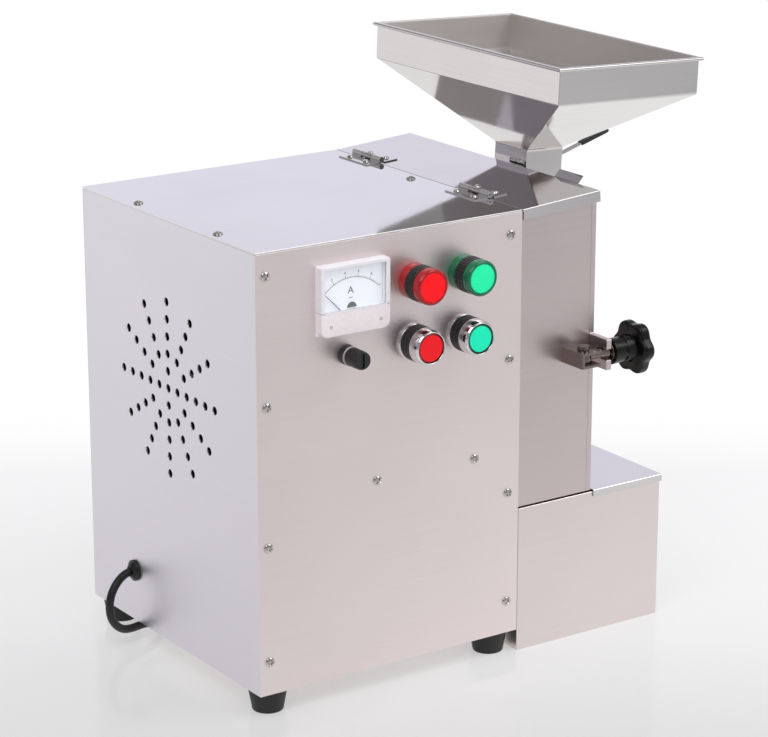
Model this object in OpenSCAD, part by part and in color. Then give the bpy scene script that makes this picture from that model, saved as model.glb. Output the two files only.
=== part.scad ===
// Bench grinding machine for peanuts: a sheet steel cabinet with the motor and controls,
// a grinding column at its right with a hinged lid and a clamped door, a feed hopper with
// a slide gate on the door's chute, and a collecting bin under the column.

/* [Cabinet] */
// Width of the control panel
body_w = 251; // [240:1:280]
// Depth of the cabinet
body_d = 270; // [262:1:300]
// Height of the cabinet above its feet
body_h = 360; // [350:1:400]
// Thickness of the steel sheet
sheet = 1.5; // [1.2:0.1:2]
// Width of the folded flanges behind the panels
flange_w = 16; // [14:1:20]
// Distance of the screws from the panel's left edge
screw_in = 9; // [7:0.5:11]
// Height of the lowest panel screws above the panel's lower edge
screw_low = 28; // [22:1:40]
// Height of the second row of panel screws
screw_second = 123; // [110:1:140]
// Height of the third row of panel screws
screw_third = 237; // [215:1:245]
// Distance of the top row of screws from the panel's upper edge
screw_top = 19; // [14:1:26]
// Diameter of a domed screw head
screw_head_d = 8; // [7:0.5:9]

/* [Feet] */
// Height of a foot
foot_h = 19; // [16:1:26]
// Diameter of a foot at the cabinet
foot_top_d = 32; // [28:1:34]
// Diameter of a foot at the floor
foot_floor_d = 25; // [20:1:27]
// Distance of a foot's axis from the cabinet's faces
foot_inset = 17; // [17:0.5:24]

/* [Vent] */
// Height of the vent and the motor shaft above the cabinet's bottom
shaft_h = 220; // [215:1:226]
// Spacing of the vent holes along a ray
vent_step = 14.4; // [12:0.1:15]
// Diameter of a vent hole
vent_hole_d = 7.2; // [6:0.1:8]

/* [Controls] */
// Distance of the red column of controls from the panel's left edge
red_x = 145.5; // [140:0.5:150]
// Distance between the red and the green column
green_step = 47.5; // [44:0.5:54]
// Distance of the lamps from the panel's upper edge
lamp_drop = 42.5; // [38:0.5:46]
// Distance of the push buttons and the fuse from the panel's upper edge
button_drop = 92; // [88:0.5:98]
// Diameter of a lamp
lamp_d = 29; // [27:0.5:31]
// How far a lamp stands out of the panel
lamp_out = 27; // [24:0.5:30]
// Diameter of a push button's bezel
bezel_d = 29.5; // [28:0.5:31]
// How far a push button stands out of the panel
button_out = 25; // [23:0.5:28]
// Diameter of a push button's cap
cap_d = 23.5; // [21:0.5:24.5]
// Travel of a push button
button_travel = 4; // [3:0.5:4.5]
// Diameter of the panel holes for lamps and buttons
control_bore = 22.5; // [22:0.1:23]
// Distance of the fuse from the panel's left edge
fuse_x = 82; // [76:0.5:90]
// Diameter of the fuse cap
fuse_d = 15; // [13:0.5:18]
// How far the fuse cap stands out of the panel
fuse_out = 24; // [21:0.5:28]
// Distance of the meter's middle from the panel's left edge
meter_x = 85.5; // [82:0.5:92]
// Distance of the meter's middle from the panel's upper edge
meter_drop = 45.5; // [40:0.5:48]
// Width of the meter
meter_w = 64; // [60:0.5:68]
// Height of the meter
meter_h = 56; // [53:0.5:58]
// Height of the meter's white lower cover
apron_h = 19; // [17:0.5:21]
// How far the meter stands out of the panel
meter_out = 9; // [8.5:0.5:12]

/* [Grinding column] */
// Width of the column from the cabinet to the door
column_w = 72; // [70:0.5:78]
// Height of the column's floor above the cabinet's bottom
column_floor = 107.5; // [106:0.5:112]
// How far the column's front lies behind the panel's face
column_recess = 1.5; // [1:0.1:2.5]
// Thickness of the door
door_t = 5; // [4:0.5:6]
// Diameter of the door's feed hole
feed_hole_d = 56; // [50:1:60]
// Outer diameter of the grinding drum
drum_d = 190; // [186:1:196]
// Outer diameter of the ring screen
screen_d = 172; // [168:1:174]
// Diameter of the grinding rotor
rotor_d = 144; // [138:1:150]
// Diameter of the motor shaft
shaft_d = 17; // [15:0.5:18]
// Diameter of the motor's body
motor_d = 132; // [126:1:136]
// Length of the motor's tube
motor_l = 104; // [96:1:110]

/* [Lid] */
// Angle at which the lid rises to the right
lid_tilt = 4; // [3:0.1:5]
// Height of the lid's folded lips
lip_h = 9.5; // [8:0.5:11]
// Length of a lid hinge
hinge_l = 42; // [36:1:48]
// Width of a hinge leaf
leaf_w = 16; // [14:0.5:18]
// Diameter of a hinge knuckle
knuckle_d = 5; // [4.5:0.1:5.4]
// Diameter of a hinge pin
hinge_pin_d = 2.4; // [2:0.1:2.6]
// Width of the lid's lifting tab
tab_w = 31; // [24:1:33]
// Length of the lid's lifting tab
tab_l = 8; // [6:0.5:9]

/* [Hopper] */
// Distance of the hopper's neck from the door's outer face
neck_gap = 11; // [10.5:0.5:14]
// Width of the neck
neck_w = 38.5; // [36:0.5:40]
// Depth of the neck
neck_d = 45; // [42:0.5:48]
// Height of the neck's top above the cabinet's bottom
neck_top = 376; // [373:0.5:380]
// Length of the neck from its seat to the sloping part
neck_l = 33; // [32:0.5:36]
// Width of the hopper's rim
tray_w = 151; // [144:1:156]
// Depth of the hopper's rim
tray_d = 265; // [250:1:272]
// Height of the sloping part of the hopper
slope_h = 59; // [54:1:66]
// Height of the hopper's upright walls
tray_h = 31; // [26:1:38]
// Width of the hem at the hopper's rim
hem = 3; // [2:0.5:4]
// Thickness of the hopper's sheet
hopper_sheet = 1.2; // [1:0.1:1.5]
// Lean of the hopper to the right
hopper_lean = 2.4; // [1.5:0.1:3]
// Height of the gate plate above the cabinet's bottom
gate_z = 364; // [362:0.5:366]
// Thickness of the gate plate
gate_t = 1.5; // [1.2:0.1:2]
// Length of the gate's handle outside the neck
handle_l = 57; // [48:1:58]
// Length of the gate's grip
grip_l = 31; // [28:1:40]

/* [Clamp] */
// Height of the clamp's axis above the cabinet's bottom
clamp_z = 232; // [226:1:236]
// Distance of the swing bolt in front of the panel's face
bolt_y = 14; // [12.5:0.5:16]
// Diameter of the swing bolt
bolt_d = 7.8; // [7:0.1:8]
// Depth of the clamp's bracket
bracket_d = 28; // [26:0.5:30]
// Width of the clamp's bracket
bracket_w = 18.5; // [17:0.5:20]
// Diameter of the star knob
knob_d = 46; // [42:1:52]
// Thickness of the star knob
knob_t = 12; // [10:0.5:16]
// Length of the star knob's hub
hub_l = 20; // [16:0.5:23]

/* [Bin] */
// Width of the collecting bin
bin_w = 150.5; // [140:0.5:160]
// Depth of the collecting bin
bin_d = 262; // [240:1:264]
// Gap between the bin and the cabinet
bin_gap = 0.8; // [0.5:0.1:0.9]
// Gap between the bin's top and the column's floor
bin_top_gap = 1; // [0.8:0.1:4]
// Thickness of the bin's sheet
bin_sheet = 1.2; // [1:0.1:1.5]
// Height of the bin lid's lips
bin_lip = 5; // [4:0.5:7]

/* [Cord] */
// Diameter of the power cord
cord_d = 7; // [6:0.1:7.2]
// Height of the cord's gland above the cabinet's bottom
gland_z = 45; // [44:0.5:46]
// Distance of the cord's gland from the panel's face
gland_y = 197; // [196:0.5:198]
// Diameter of the gland's collar
gland_d = 18; // [15:0.5:20]

/* [Hidden] */
$fn = 64;

// Clearances: between pieces that turn or slide, between moving bodies, and round a screw
run = 0.05;
clear = 0.3;
screw_play = 0.1;

// Levels and places shared by many pieces
z0 = foot_h;
z1 = z0 + body_h;
axis_y = body_d / 2;
axis_z = z0 + shaft_h;
base_t = 2;
screw_d = 3.8;
screw_head_h = 2.2;
screw_l = 8;
red_at = red_x;
green_at = red_x + green_step;
screw_right = body_w - screw_in - 2;
screw_rows = [screw_low, screw_second, screw_third, body_h - screw_top];
lamp_z = body_h - lamp_drop;
button_z = body_h - button_drop;
meter_z = body_h - meter_drop;
bracket_screw_z = 159;
bracket_screw_x = [body_w - 140, body_w - 45];
panel_screw_spots = concat([for (z = screw_rows) [screw_in, z]], [for (z = screw_rows) [screw_right, z]],
    [for (x = bracket_screw_x) [x, bracket_screw_z]]);
top_screw_spots = [[screw_in, 68.5], [screw_in, 192], [screw_right, 140]];

// Column, door and lid
column_x1 = body_w + column_w;
door_x1 = column_x1 + door_t;
column_z = z0 + column_floor;
column_y0 = column_recess;
column_y1 = body_d - column_recess;
hinge_x = body_w + 2;
hinge_z = z1 + knuckle_d / 2 + 0.5;
hinge_drop = hinge_z - z1;
lid_x0 = -1.4;
lid_x1 = door_x1 + 0.5 + sheet - hinge_x;
lid_y0 = column_y0 - clear - sheet;
lid_y1 = column_y1 + clear + sheet;
tab_y = 30;
tab_angle = 43;
hinge_ys = [45, 202];
function lid_under(x) = hinge_z + (x - hinge_x) * tan(lid_tilt) - (hinge_drop + sheet) / cos(lid_tilt);

// Hopper and chute
chute_wall = 1.5;
neck_x = door_x1 + neck_gap + neck_w / 2;
seat_z = z0 + neck_top - neck_l;
chute_top = seat_z - chute_wall;
chute_x1 = neck_x + neck_w / 2 + 7;
chute_d = neck_d + 12;
spigot_l = 14;
hopper_h = z0 + neck_top + slope_h + tray_h - seat_z;
gate_play = 0.6;
gate_w = neck_d - 2 * hopper_sheet - 2;
gate_tip_w = 19;
gate_tip_y = axis_y - neck_d / 2 + 13;
gate_lift = 16.5;
gate_x0 = neck_x - neck_w / 2 + hopper_sheet + 2;
gate_x1 = neck_x + neck_w / 2 + 5;
handle_w = 5.5;
grip_wall = 0.9;

// Clamp
clamp_at = z0 + clamp_z;
pin_x = column_x1 - 18;
pin_d = 6;
clevis_plate = 2.2;
clevis_gap = bolt_d + 0.8;
bracket_x0 = pin_x - 10.5;
lug_gap = 1.7;
hub_x0 = door_x1 + lug_gap + 2;
star_x0 = hub_x0 + hub_l;
star_x1 = star_x0 + knob_t;

// Bin
bin_x0 = body_w + bin_gap;
bin_x1 = bin_x0 + bin_w;
bin_y0 = 0.4;
bin_y1 = bin_y0 + bin_d;
bin_h = column_z - bin_top_gap;
bin_lid_x0 = door_x1 + 1.5;

// Controls behind the panel
barrel_d = control_bore - 0.5;
barrel_l = 28;
nut_t = 5;
nut_d = 29;
cap_t = 5;
stem_d = 11.8;
stem_bore = stem_d + 2 * run;
collar_l = 14;
meter_drum_d = 50;
meter_drum_l = 32;
meter_plate = 2;
dial_t = 0.6;
needle_drop = 11.5;
needle_z = z0 + meter_z - meter_h / 2 + apron_h - needle_drop;
needle_l = 36;
needle_hub_d = 9;

// Motor and grinding parts along the shaft
flange_x1 = body_w - sheet;
bell_l = 22;
motor_x1 = flange_x1 - bell_l;
motor_x0 = motor_x1 - motor_l;
bearing_d = 40;
bearing_w = 12;
bearing_xs = [motor_x0 - bell_l + 4, flange_x1 - bearing_w];
core_d = 72;
core_l = 70;
core_x0 = (motor_x0 + motor_x1 - core_l) / 2;
fan_x0 = 26;
fan_w = 18;
fan_d = 112;
shaft_x0 = fan_x0 - 4;
rotor_x0 = body_w + 8;
rotor_t = 8;
pin_ring_r = [34, rotor_d / 2 - 10];
rotor_pin_d = 9;
shaft_x1 = rotor_x0 + 40;
disc_x0 = column_x1 - 8;
fixed_pin_r = (pin_ring_r[0] + pin_ring_r[1]) / 2;

// Middle of the object's box, where the origin lies
rim_x = neck_x + tray_w / 2 * cos(hopper_lean) + hopper_h * sin(hopper_lean);
barrel_hinge_d = 9;
back_y = body_d + barrel_hinge_d / 2 + 3;
front_y = -bolt_y - knob_d / 2;
mid_x = rim_x / 2;
mid_y = (front_y + back_y) / 2;

// Cord route from the gland to the coil, in the cabinet's corner frame
cord_route = [[10, 197, 64], [2, 197, 64], [-4.5, 197, 64], [-13.9, 194.5, 62.1], [-21.9, 192.3, 56.5],
    [-27.3, 190.9, 48.3], [-29.1, 190.4, 38.5], [-27.3, 190.9, 28.7], [-21.9, 192.3, 20.5],
    [-13.9, 194.5, 14.9], [-4.5, 197, 13], [5.3, 199.8, 12.6], [15.2, 203.2, 11.2], [25, 207.4, 9.2],
    [34.4, 212.6, 7.2], [43.2, 218.8, 5.6], [51.5, 226, 4.9], [59.4, 233.7, 4.8], [67, 241.7, 4.8],
    [74.2, 250, 4.8], [80.7, 258.9, 4.8], [86.3, 268.3, 4.8], [90.8, 278.3, 4.8], [94, 288.8, 4.8],
    [95.7, 299.7, 4.8], [96, 310, 4.8], [96, 320, 4.8]];
gland_out = 5.5;
coil_z = 4.8;
coil_pitch = 7.7;
coil_rise = 7.7;
coil_inner_r = 30;
coil_layer_turns = 2.375;
coil_outer_r = coil_inner_r + coil_pitch * coil_layer_turns;
coil_x = 96 + coil_outer_r;
coil_y = 332;
tail_l = 40;
plug_d = 23;
plug_l = 38;

// Sweep of a round tube along a list of points
function unit(v) = v / norm(v);
function flat(v, t) = unit(v - (v * t) * t);
function tangent(p, i) = unit(p[min(i + 1, len(p) - 1)] - p[max(i - 1, 0)]);
function carried(p, i, s) = i == len(p) ? []
    : let (n = flat(s, tangent(p, i))) concat([n], carried(p, i + 1, n));
function tube_points(p, r, sides) = let (s = carried(p, 0, [0.1, 0.2, 1]))
    [for (i = [0 : len(p) - 1]) for (k = [0 : sides - 1])
        p[i] + r * (cos(k * 360 / sides) * s[i] + sin(k * 360 / sides) * cross(tangent(p, i), s[i]))];
function tube_faces(n, m) = concat(
    [for (i = [0 : n - 2]) for (k = [0 : m - 1]) [i * m + k, i * m + (k + 1) % m, (i + 1) * m + k]],
    [for (i = [0 : n - 2]) for (k = [0 : m - 1])
        [i * m + (k + 1) % m, (i + 1) * m + (k + 1) % m, (i + 1) * m + k]],
    [for (k = [1 : m - 2]) [0, k + 1, k]],
    [for (k = [1 : m - 2]) [(n - 1) * m, (n - 1) * m + k, (n - 1) * m + k + 1]]);

// Coil: in over the lower layer, up half a turn, out over the upper layer, then a straight tail
coil_steps = 24;
in_steps = coil_layer_turns * coil_steps;
climb_steps = coil_steps / 2;
all_steps = 2 * in_steps + climb_steps;
function coil_r(i) = i < in_steps ? coil_outer_r - coil_pitch * i / coil_steps
    : i > in_steps + climb_steps ? coil_inner_r + coil_pitch * (i - in_steps - climb_steps) / coil_steps
    : coil_inner_r;
function coil_up(i) = coil_rise * (1 - cos(180 * max(0, min(1, (i - in_steps) / climb_steps)))) / 2;
function coil_point(i) = let (a = 180 - i * 360 / coil_steps)
    [coil_x + coil_r(i) * cos(a), coil_y + coil_r(i) * sin(a), coil_z + coil_up(i)];
coil_turns = [for (i = [0 : all_steps]) coil_point(i)];
coil_end = coil_turns[all_steps];
coil_path = concat([[coil_turns[0][0], coil_y - 12, coil_z], [coil_turns[0][0], coil_y - 5, coil_z]],
    coil_turns, [coil_end + [tail_l - cord_d - 6, 0, 0], coil_end + [tail_l, 0, 0]]);
coil_gap = min([for (i = [0 : len(coil_turns) - 1]) for (j = [i + 13 : 1 : len(coil_turns) - 1])
    norm(coil_turns[i] - coil_turns[j])]) - cord_d;
echo(coil_gap = coil_gap);

// Small helpers
module place() { translate([-mid_x, -mid_y, 0]) children(); }
module block(low, high) { translate(low) cube(high - low); }
module rod_x(x0, x1, d) { translate([x0, 0, 0]) rotate([0, 90, 0]) cylinder(h = x1 - x0, d = d); }
module rod_y(y0, y1, d) { translate([0, y0, 0]) rotate([-90, 0, 0]) cylinder(h = y1 - y0, d = d); }
module tube(path, d, sides) {
    polyhedron(points = tube_points(path, d / 2, sides), faces = tube_faces(len(path), sides),
        convexity = 10);
}
module on_shaft() { translate([0, axis_y, axis_z]) children(); }
module on_panel(x, z) { translate([x, 0, z0 + z]) children(); }
module on_lid() { translate([hinge_x, 0, hinge_z]) rotate([0, -lid_tilt, 0]) children(); }
// Domed screw whose head lies in front of the plane y = 0
module panel_screw(l) {
    rotate([-90, 0, 0]) cylinder(h = l, d = screw_d - 2 * screw_play);
    rotate([90, 0, 0]) cylinder(h = screw_head_h, d1 = screw_head_d, d2 = screw_head_d * 0.55);
}
// Flanges along three edges of an upright sheet, from x0 to x1
module edge_flanges(x0, x1) {
    low = z0 + base_t + 1;
    block([x0, sheet, low], [x1, 2 * sheet, z1 - sheet]);
    block([x0, body_d - 2 * sheet, low], [x1, body_d - sheet, z1 - sheet]);
    block([x0, 2 * sheet, z1 - 2 * sheet], [x1, body_d - 2 * sheet, z1 - sheet]);
}
module screw_bores(y0, y1) {
    for (s = panel_screw_spots) on_panel(s[0], s[1]) rod_y(y0, y1, screw_d);
}
module top_bores() {
    for (s = top_screw_spots) translate([s[0], s[1], z1 - 10]) cylinder(h = 20, d = screw_d);
}
module foot_spots() {
    for (x = [foot_inset, body_w - foot_inset]) for (y = [foot_inset, body_d - foot_inset])
        translate([x, y, 0]) children();
}

// Cabinet
module base_plate() {
    color("silver") place() difference() {
        block([sheet, sheet, z0], [body_w - sheet, body_d - sheet, z0 + base_t]);
        foot_spots() translate([0, 0, z0 - 1]) cylinder(h = base_t + 2, d = 5);
    }
}
module left_end_panel() {
    color("gainsboro") place() difference() {
        union() {
            block([0, sheet, z0], [sheet, body_d - sheet, z1 - sheet]);
            edge_flanges(sheet, flange_w);
        }
        on_shaft() {
            rod_x(-1, sheet + 1, vent_hole_d);
            for (k = [0 : 11]) for (n = [(k % 3 == 0 ? 1 : 2) : 5])
                rotate([k * 30, 0, 0]) translate([0, 0, n * vent_step]) rod_x(-1, sheet + 1, vent_hole_d);
        }
        translate([0, gland_y, z0 + gland_z]) rod_x(-1, sheet + 1, cord_d + 5);
        screw_bores(0, 4 * sheet);
        top_bores();
    }
}
module front_panel() {
    color("silver") place() difference() {
        block([0, 0, z0], [body_w, sheet, z1 - sheet]);
        screw_bores(-1, sheet + 1);
        for (x = [red_at, green_at]) for (z = [lamp_z, button_z])
            on_panel(x, z) rod_y(-1, sheet + 1, control_bore);
        on_panel(fuse_x, button_z) rod_y(-1, sheet + 1, 12.4);
        on_panel(meter_x, meter_z) rod_y(-1, sheet + 1, meter_drum_d + 1);
    }
}
module back_panel() {
    color("silver") place() block([0, body_d - sheet, z0], [body_w, body_d, z1 - sheet]);
}
module top_cover() {
    color("gainsboro") place() difference() {
        block([0, 0, z1 - sheet], [body_w, body_d, z1]);
        top_bores();
    }
}
module bulkhead() {
    color("silver") place() difference() {
        union() {
            block([body_w - sheet, sheet, z0], [body_w, body_d - sheet, z1 - sheet]);
            edge_flanges(body_w - flange_w, body_w - sheet);
        }
        on_shaft() rod_x(body_w - sheet - 1, body_w + 1, bearing_d - 8);
        screw_bores(0, 4 * sheet);
        top_bores();
    }
}
module rubber_feet() {
    color("#1c1c1e") place() foot_spots() difference() {
        cylinder(h = z0, d1 = foot_floor_d, d2 = foot_top_d);
        translate([0, 0, -1]) cylinder(h = 8, d = 10);
        cylinder(h = z0 + 1, d = 5);
    }
}
module foot_screws() {
    color("silver") place() foot_spots() {
        translate([0, 0, 4]) cylinder(h = 3, d = 9);
        translate([0, 0, 7]) cylinder(h = z0 + base_t + 8 - 7, d = 5 - 2 * screw_play);
        translate([0, 0, z0 + base_t]) difference() {
            cylinder(h = 4, d = 9.2, $fn = 6);
            translate([0, 0, -1]) cylinder(h = 6, d = 5);
        }
    }
}
module panel_screws() {
    color("silver") place() for (s = panel_screw_spots) on_panel(s[0], s[1]) panel_screw(screw_l);
}
module top_screws() {
    color("silver") place() for (s = top_screw_spots)
        translate([s[0], s[1], z1]) rotate([-90, 0, 0]) panel_screw(screw_l);
}

// Meter
module meter_case() {
    color("white") place() on_panel(meter_x, meter_z) difference() {
        union() {
            rod_y(0, meter_drum_l, meter_drum_d);
            block([-meter_w / 2, -meter_plate, -meter_h / 2], [meter_w / 2, 0, meter_h / 2]);
        }
        translate([0, 0, needle_z - z0 - meter_z]) rod_y(-meter_plate - 1, 2, 2 + 2 * run);
    }
}
module meter_dial() {
    color("aliceblue") place() on_panel(meter_x, meter_z)
        block([-meter_w / 2 + 4, -meter_plate - dial_t, -meter_h / 2 + apron_h + 0.2],
            [meter_w / 2 - 4, -meter_plate, meter_h / 2 - 4]);
}
module meter_needle() {
    front = -meter_plate - dial_t - 0.4;
    color("black") place() translate([meter_x, 0, needle_z]) {
        rod_y(front - 2.2, front, needle_hub_d);
        rod_y(front - 0.1, 1, 2);
        rotate([0, -45, 0]) block([-0.6, front - 1.6, 0], [0.6, front - 0.8, needle_l]);
    }
}
module meter_window() {
    color([0.92, 0.95, 1, 0.35]) place() on_panel(meter_x, meter_z) difference() {
        block([-meter_w / 2, -meter_out, -meter_h / 2 + apron_h], [meter_w / 2, -meter_plate, meter_h / 2]);
        block([-meter_w / 2 + 1.5, -meter_out + 1.5, -meter_h / 2 + apron_h - 1],
            [meter_w / 2 - 1.5, 1, meter_h / 2 - 1.5]);
    }
}
module meter_apron() {
    color("mistyrose") place() on_panel(meter_x, meter_z) difference() {
        block([-meter_w / 2, -meter_out, -meter_h / 2], [meter_w / 2, -meter_plate, -meter_h / 2 + apron_h]);
        block([-meter_w / 2 + 1.5, -meter_out + 1.5, -meter_h / 2 + 1.5],
            [meter_w / 2 - 1.5, 1, -meter_h / 2 + apron_h + 1]);
    }
}

// Fuse
module fuse_holder() {
    color("#202022") place() on_panel(fuse_x, button_z) difference() {
        union() {
            rod_y(-8, 0, fuse_d + 1);
            rod_y(-0.1, 30, 12);
        }
        rod_y(-9, 24, 8 + 2 * run);
    }
}
module fuse_cap() {
    color("#202022") place() on_panel(fuse_x, button_z) difference() {
        union() {
            rod_y(-fuse_out, -8 - clear, fuse_d);
            rod_y(-fuse_out + 1, 20, 8);
        }
        block([-0.8, -fuse_out - 1, -fuse_d / 3], [0.8, -fuse_out + 1.5, fuse_d / 3]);
    }
}

// Lamps
lamp_base = 8;
lamp_band = 11;
module lamp_bodies() {
    color("#202022") place() for (x = [red_at, green_at]) on_panel(x, lamp_z) {
        rod_y(-lamp_base - lamp_band, -lamp_base, lamp_d + 0.4);
        rod_y(-lamp_base - 0.1, barrel_l, barrel_d);
    }
}
module lamp_lens() {
    difference() {
        rod_y(-lamp_base, 0, lamp_d);
        rod_y(-lamp_base - 1, 1, barrel_d + 2 * run);
    }
    rotate([90, 0, 0]) translate([0, 0, lamp_base + lamp_band]) rotate_extrude()
        polygon([[0, 0], [lamp_d / 2, 0], [lamp_d / 2, lamp_out - lamp_base - lamp_band - 1.5],
            [lamp_d / 2 - 1.5, lamp_out - lamp_base - lamp_band], [0, lamp_out - lamp_base - lamp_band]]);
}
module red_lens() { color("red") place() on_panel(red_at, lamp_z) lamp_lens(); }
module green_lens() { color("mediumseagreen") place() on_panel(green_at, lamp_z) lamp_lens(); }

// Push buttons
module button_bodies() {
    color("#202022") place() for (x = [red_at, green_at]) on_panel(x, button_z) difference() {
        union() {
            rod_y(-collar_l, 0, bezel_d);
            rod_y(-0.1, barrel_l, barrel_d);
        }
        rod_y(-collar_l - 1, barrel_l + 1, stem_bore);
    }
}
module button_bezels() {
    color("gainsboro") place() for (x = [red_at, green_at]) on_panel(x, button_z) difference() {
        rod_y(-button_out, -collar_l, bezel_d);
        rod_y(-button_out - 1, -collar_l + 1, cap_d + 2 * clear);
    }
}
module button_cap() {
    rod_y(-button_out + 0.6, -button_out + 0.6 + cap_t, cap_d);
    rod_y(-button_out + 1, barrel_l + 2, stem_d);
}
module stop_cap() { color("red") place() on_panel(red_at, button_z) button_cap(); }
module start_cap() { color("mediumspringgreen") place() on_panel(green_at, button_z) button_cap(); }
module contact_blocks() {
    color("#2b2b2e") place() for (x = [red_at, green_at]) on_panel(x, button_z) difference() {
        block([-15, barrel_l, -20], [15, barrel_l + 34, 20]);
        rod_y(barrel_l - 1, barrel_l + 2 + button_travel + 3, stem_d + 1.2);
    }
}
module panel_nuts() {
    color("#2b2b2e") place() {
        for (x = [red_at, green_at]) for (z = [lamp_z, button_z]) on_panel(x, z) panel_nut(nut_d, barrel_d);
        on_panel(fuse_x, button_z) panel_nut(19, 12);
    }
}
module panel_nut(d, bore) {
    difference() {
        rotate([-90, 0, 0]) translate([0, 0, sheet]) cylinder(h = nut_t, d = d, $fn = 6);
        rod_y(0, sheet + nut_t + 1, bore + 2 * run);
    }
}

// Inner bracket on the two middle screws of the panel
module control_bracket() {
    x = bracket_screw_x;
    color("silver") place() difference() {
        block([x[0] - 12, sheet, z0 + bracket_screw_z - 14],
            [x[1] + 12, sheet + 2, z0 + bracket_screw_z + 14]);
        screw_bores(0, sheet + 3);
    }
}

// Motor
module motor_frame() {
    color("slategray") place() on_shaft() difference() {
        rod_x(motor_x0, motor_x1, motor_d);
        rod_x(motor_x0 - 1, motor_x1 + 1, motor_d - 12);
    }
}
module stator() {
    color("#8a5a30") place() on_shaft() difference() {
        rod_x(core_x0, core_x0 + core_l, motor_d - 12 - 2 * run);
        rod_x(core_x0 - 1, core_x0 + core_l + 1, core_d + 1);
    }
}
module end_bells() {
    color("slategray") place() on_shaft() {
        difference() {
            rod_x(motor_x0 - bell_l, motor_x0, motor_d);
            rod_x(motor_x0 - bell_l - 1, motor_x0 + 1, shaft_d + 4);
            rod_x(bearing_xs[0], motor_x0 + 1, bearing_d + 2 * run);
        }
        difference() {
            union() {
                rod_x(motor_x1, flange_x1, motor_d);
                rod_x(flange_x1 - 8, flange_x1, motor_d + 26);
            }
            rod_x(motor_x1 - 1, flange_x1 + 1, shaft_d + 4);
            rod_x(bearing_xs[1], flange_x1 + 1, bearing_d + 2 * run);
        }
    }
}
module bearings() {
    color("gainsboro") place() on_shaft() for (x = bearing_xs) difference() {
        rod_x(x, x + bearing_w, bearing_d);
        rod_x(x - 1, x + bearing_w + 1, shaft_d + 2 * run);
    }
}
module motor_shaft() {
    color("gray") place() on_shaft() {
        rod_x(shaft_x0, shaft_x1, shaft_d);
        difference() {
            rod_x(shaft_x1 - 18, shaft_x1 - 6, 28);
            rod_x(shaft_x1 - 19, shaft_x1 - 5, shaft_d - 1);
        }
    }
}
module rotor_core() {
    color("dimgray") place() on_shaft() difference() {
        rod_x(core_x0, core_x0 + core_l, core_d);
        rod_x(core_x0 - 1, core_x0 + core_l + 1, shaft_d + 2 * run);
    }
}
module cooling_fan() {
    color("#2b2b2e") place() on_shaft() difference() {
        union() {
            rod_x(fan_x0, fan_x0 + fan_w, 36);
            rod_x(fan_x0 + fan_w - 2, fan_x0 + fan_w, fan_d - 30);
            for (k = [0 : 7]) rotate([k * 45, 0, 0])
                block([fan_x0 + 1, -1, 14], [fan_x0 + fan_w, 1, fan_d / 2]);
        }
        rod_x(fan_x0 - 1, fan_x0 + fan_w + 1, shaft_d + 2 * run);
    }
}

// Grinding chamber
drum_wall = 3;
screen_wall = 2;
module grinding_drum() {
    color("silver") place() on_shaft() difference() {
        rod_x(body_w, column_x1, drum_d);
        rod_x(body_w - 1, column_x1 + 1, drum_d - 2 * drum_wall);
        block([body_w + 10, -32, -drum_d], [column_x1 - 10, 32, 0]);
    }
}
module ring_screen() {
    color("gray") place() on_shaft() difference() {
        rod_x(body_w, column_x1, screen_d);
        rod_x(body_w - 1, column_x1 + 1, screen_d - 2 * screen_wall);
        for (k = [0 : 23]) rotate([k * 15, 0, 0])
            block([body_w + 8, -1, screen_d / 2 - 5], [column_x1 - 8, 1, screen_d / 2 + 5]);
    }
}
module grinding_rotor() {
    color("gray") place() on_shaft() difference() {
        union() {
            rod_x(rotor_x0, rotor_x0 + rotor_t, rotor_d);
            rod_x(rotor_x0 - 4, rotor_x0 + 20, 36);
            for (k = [0 : 5]) rotate([k * 60, 0, 0]) translate([0, 0, pin_ring_r[0]]) rotor_pin();
            for (k = [0 : 11]) rotate([k * 30, 0, 0]) translate([0, 0, pin_ring_r[1]]) rotor_pin();
        }
        rod_x(rotor_x0 - 5, rotor_x0 + 21, shaft_d + 2 * run);
    }
}
module rotor_pin() { rod_x(rotor_x0 + rotor_t - 1, disc_x0 - 4, rotor_pin_d); }
module fixed_disc() {
    color("gray") place() on_shaft() difference() {
        union() {
            rod_x(disc_x0, column_x1, screen_d - 2 * screen_wall - 1);
            for (k = [0 : 9]) rotate([k * 36, 0, 0]) translate([0, 0, fixed_pin_r])
                rod_x(rotor_x0 + rotor_t + 4, disc_x0 + 1, rotor_pin_d);
        }
        rod_x(disc_x0 - 1, column_x1 + 1, feed_hole_d);
    }
}
module column_shell() {
    color("silver") place() difference() {
        union() {
            translate([0, column_y0 + sheet, 0]) rotate([90, 0, 0]) linear_extrude(sheet) column_side();
            translate([0, column_y1, 0]) rotate([90, 0, 0]) linear_extrude(sheet) column_side();
            block([body_w, column_y0, column_z], [column_x1, column_y1, column_z + sheet]);
        }
        block([body_w + 10, axis_y - 32, column_z - 1], [column_x1 - 10, axis_y + 32, column_z + sheet + 1]);
    }
}
module column_side() {
    polygon([[body_w, column_z], [column_x1, column_z], [column_x1, lid_under(column_x1) - clear],
        [body_w, lid_under(body_w) - clear]]);
}
module chamber_door() {
    top = lid_under(column_x1) - clear;
    color("gainsboro") place() difference() {
        union() {
            block([column_x1, column_y0, column_z], [door_x1, column_y1, top]);
            block([column_x1, -bolt_y - 8, clamp_at - 13], [door_x1, column_y0 + 1, clamp_at + 13]);
        }
        on_shaft() rod_x(column_x1 - 1, door_x1 + 1, feed_hole_d);
        block([column_x1 - 1, -bolt_y - 9, clamp_at - bolt_d / 2 - 0.7],
            [door_x1 + 1, -bolt_y + bolt_d / 2 + 0.7, clamp_at + bolt_d / 2 + 0.7]);
    }
}
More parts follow.
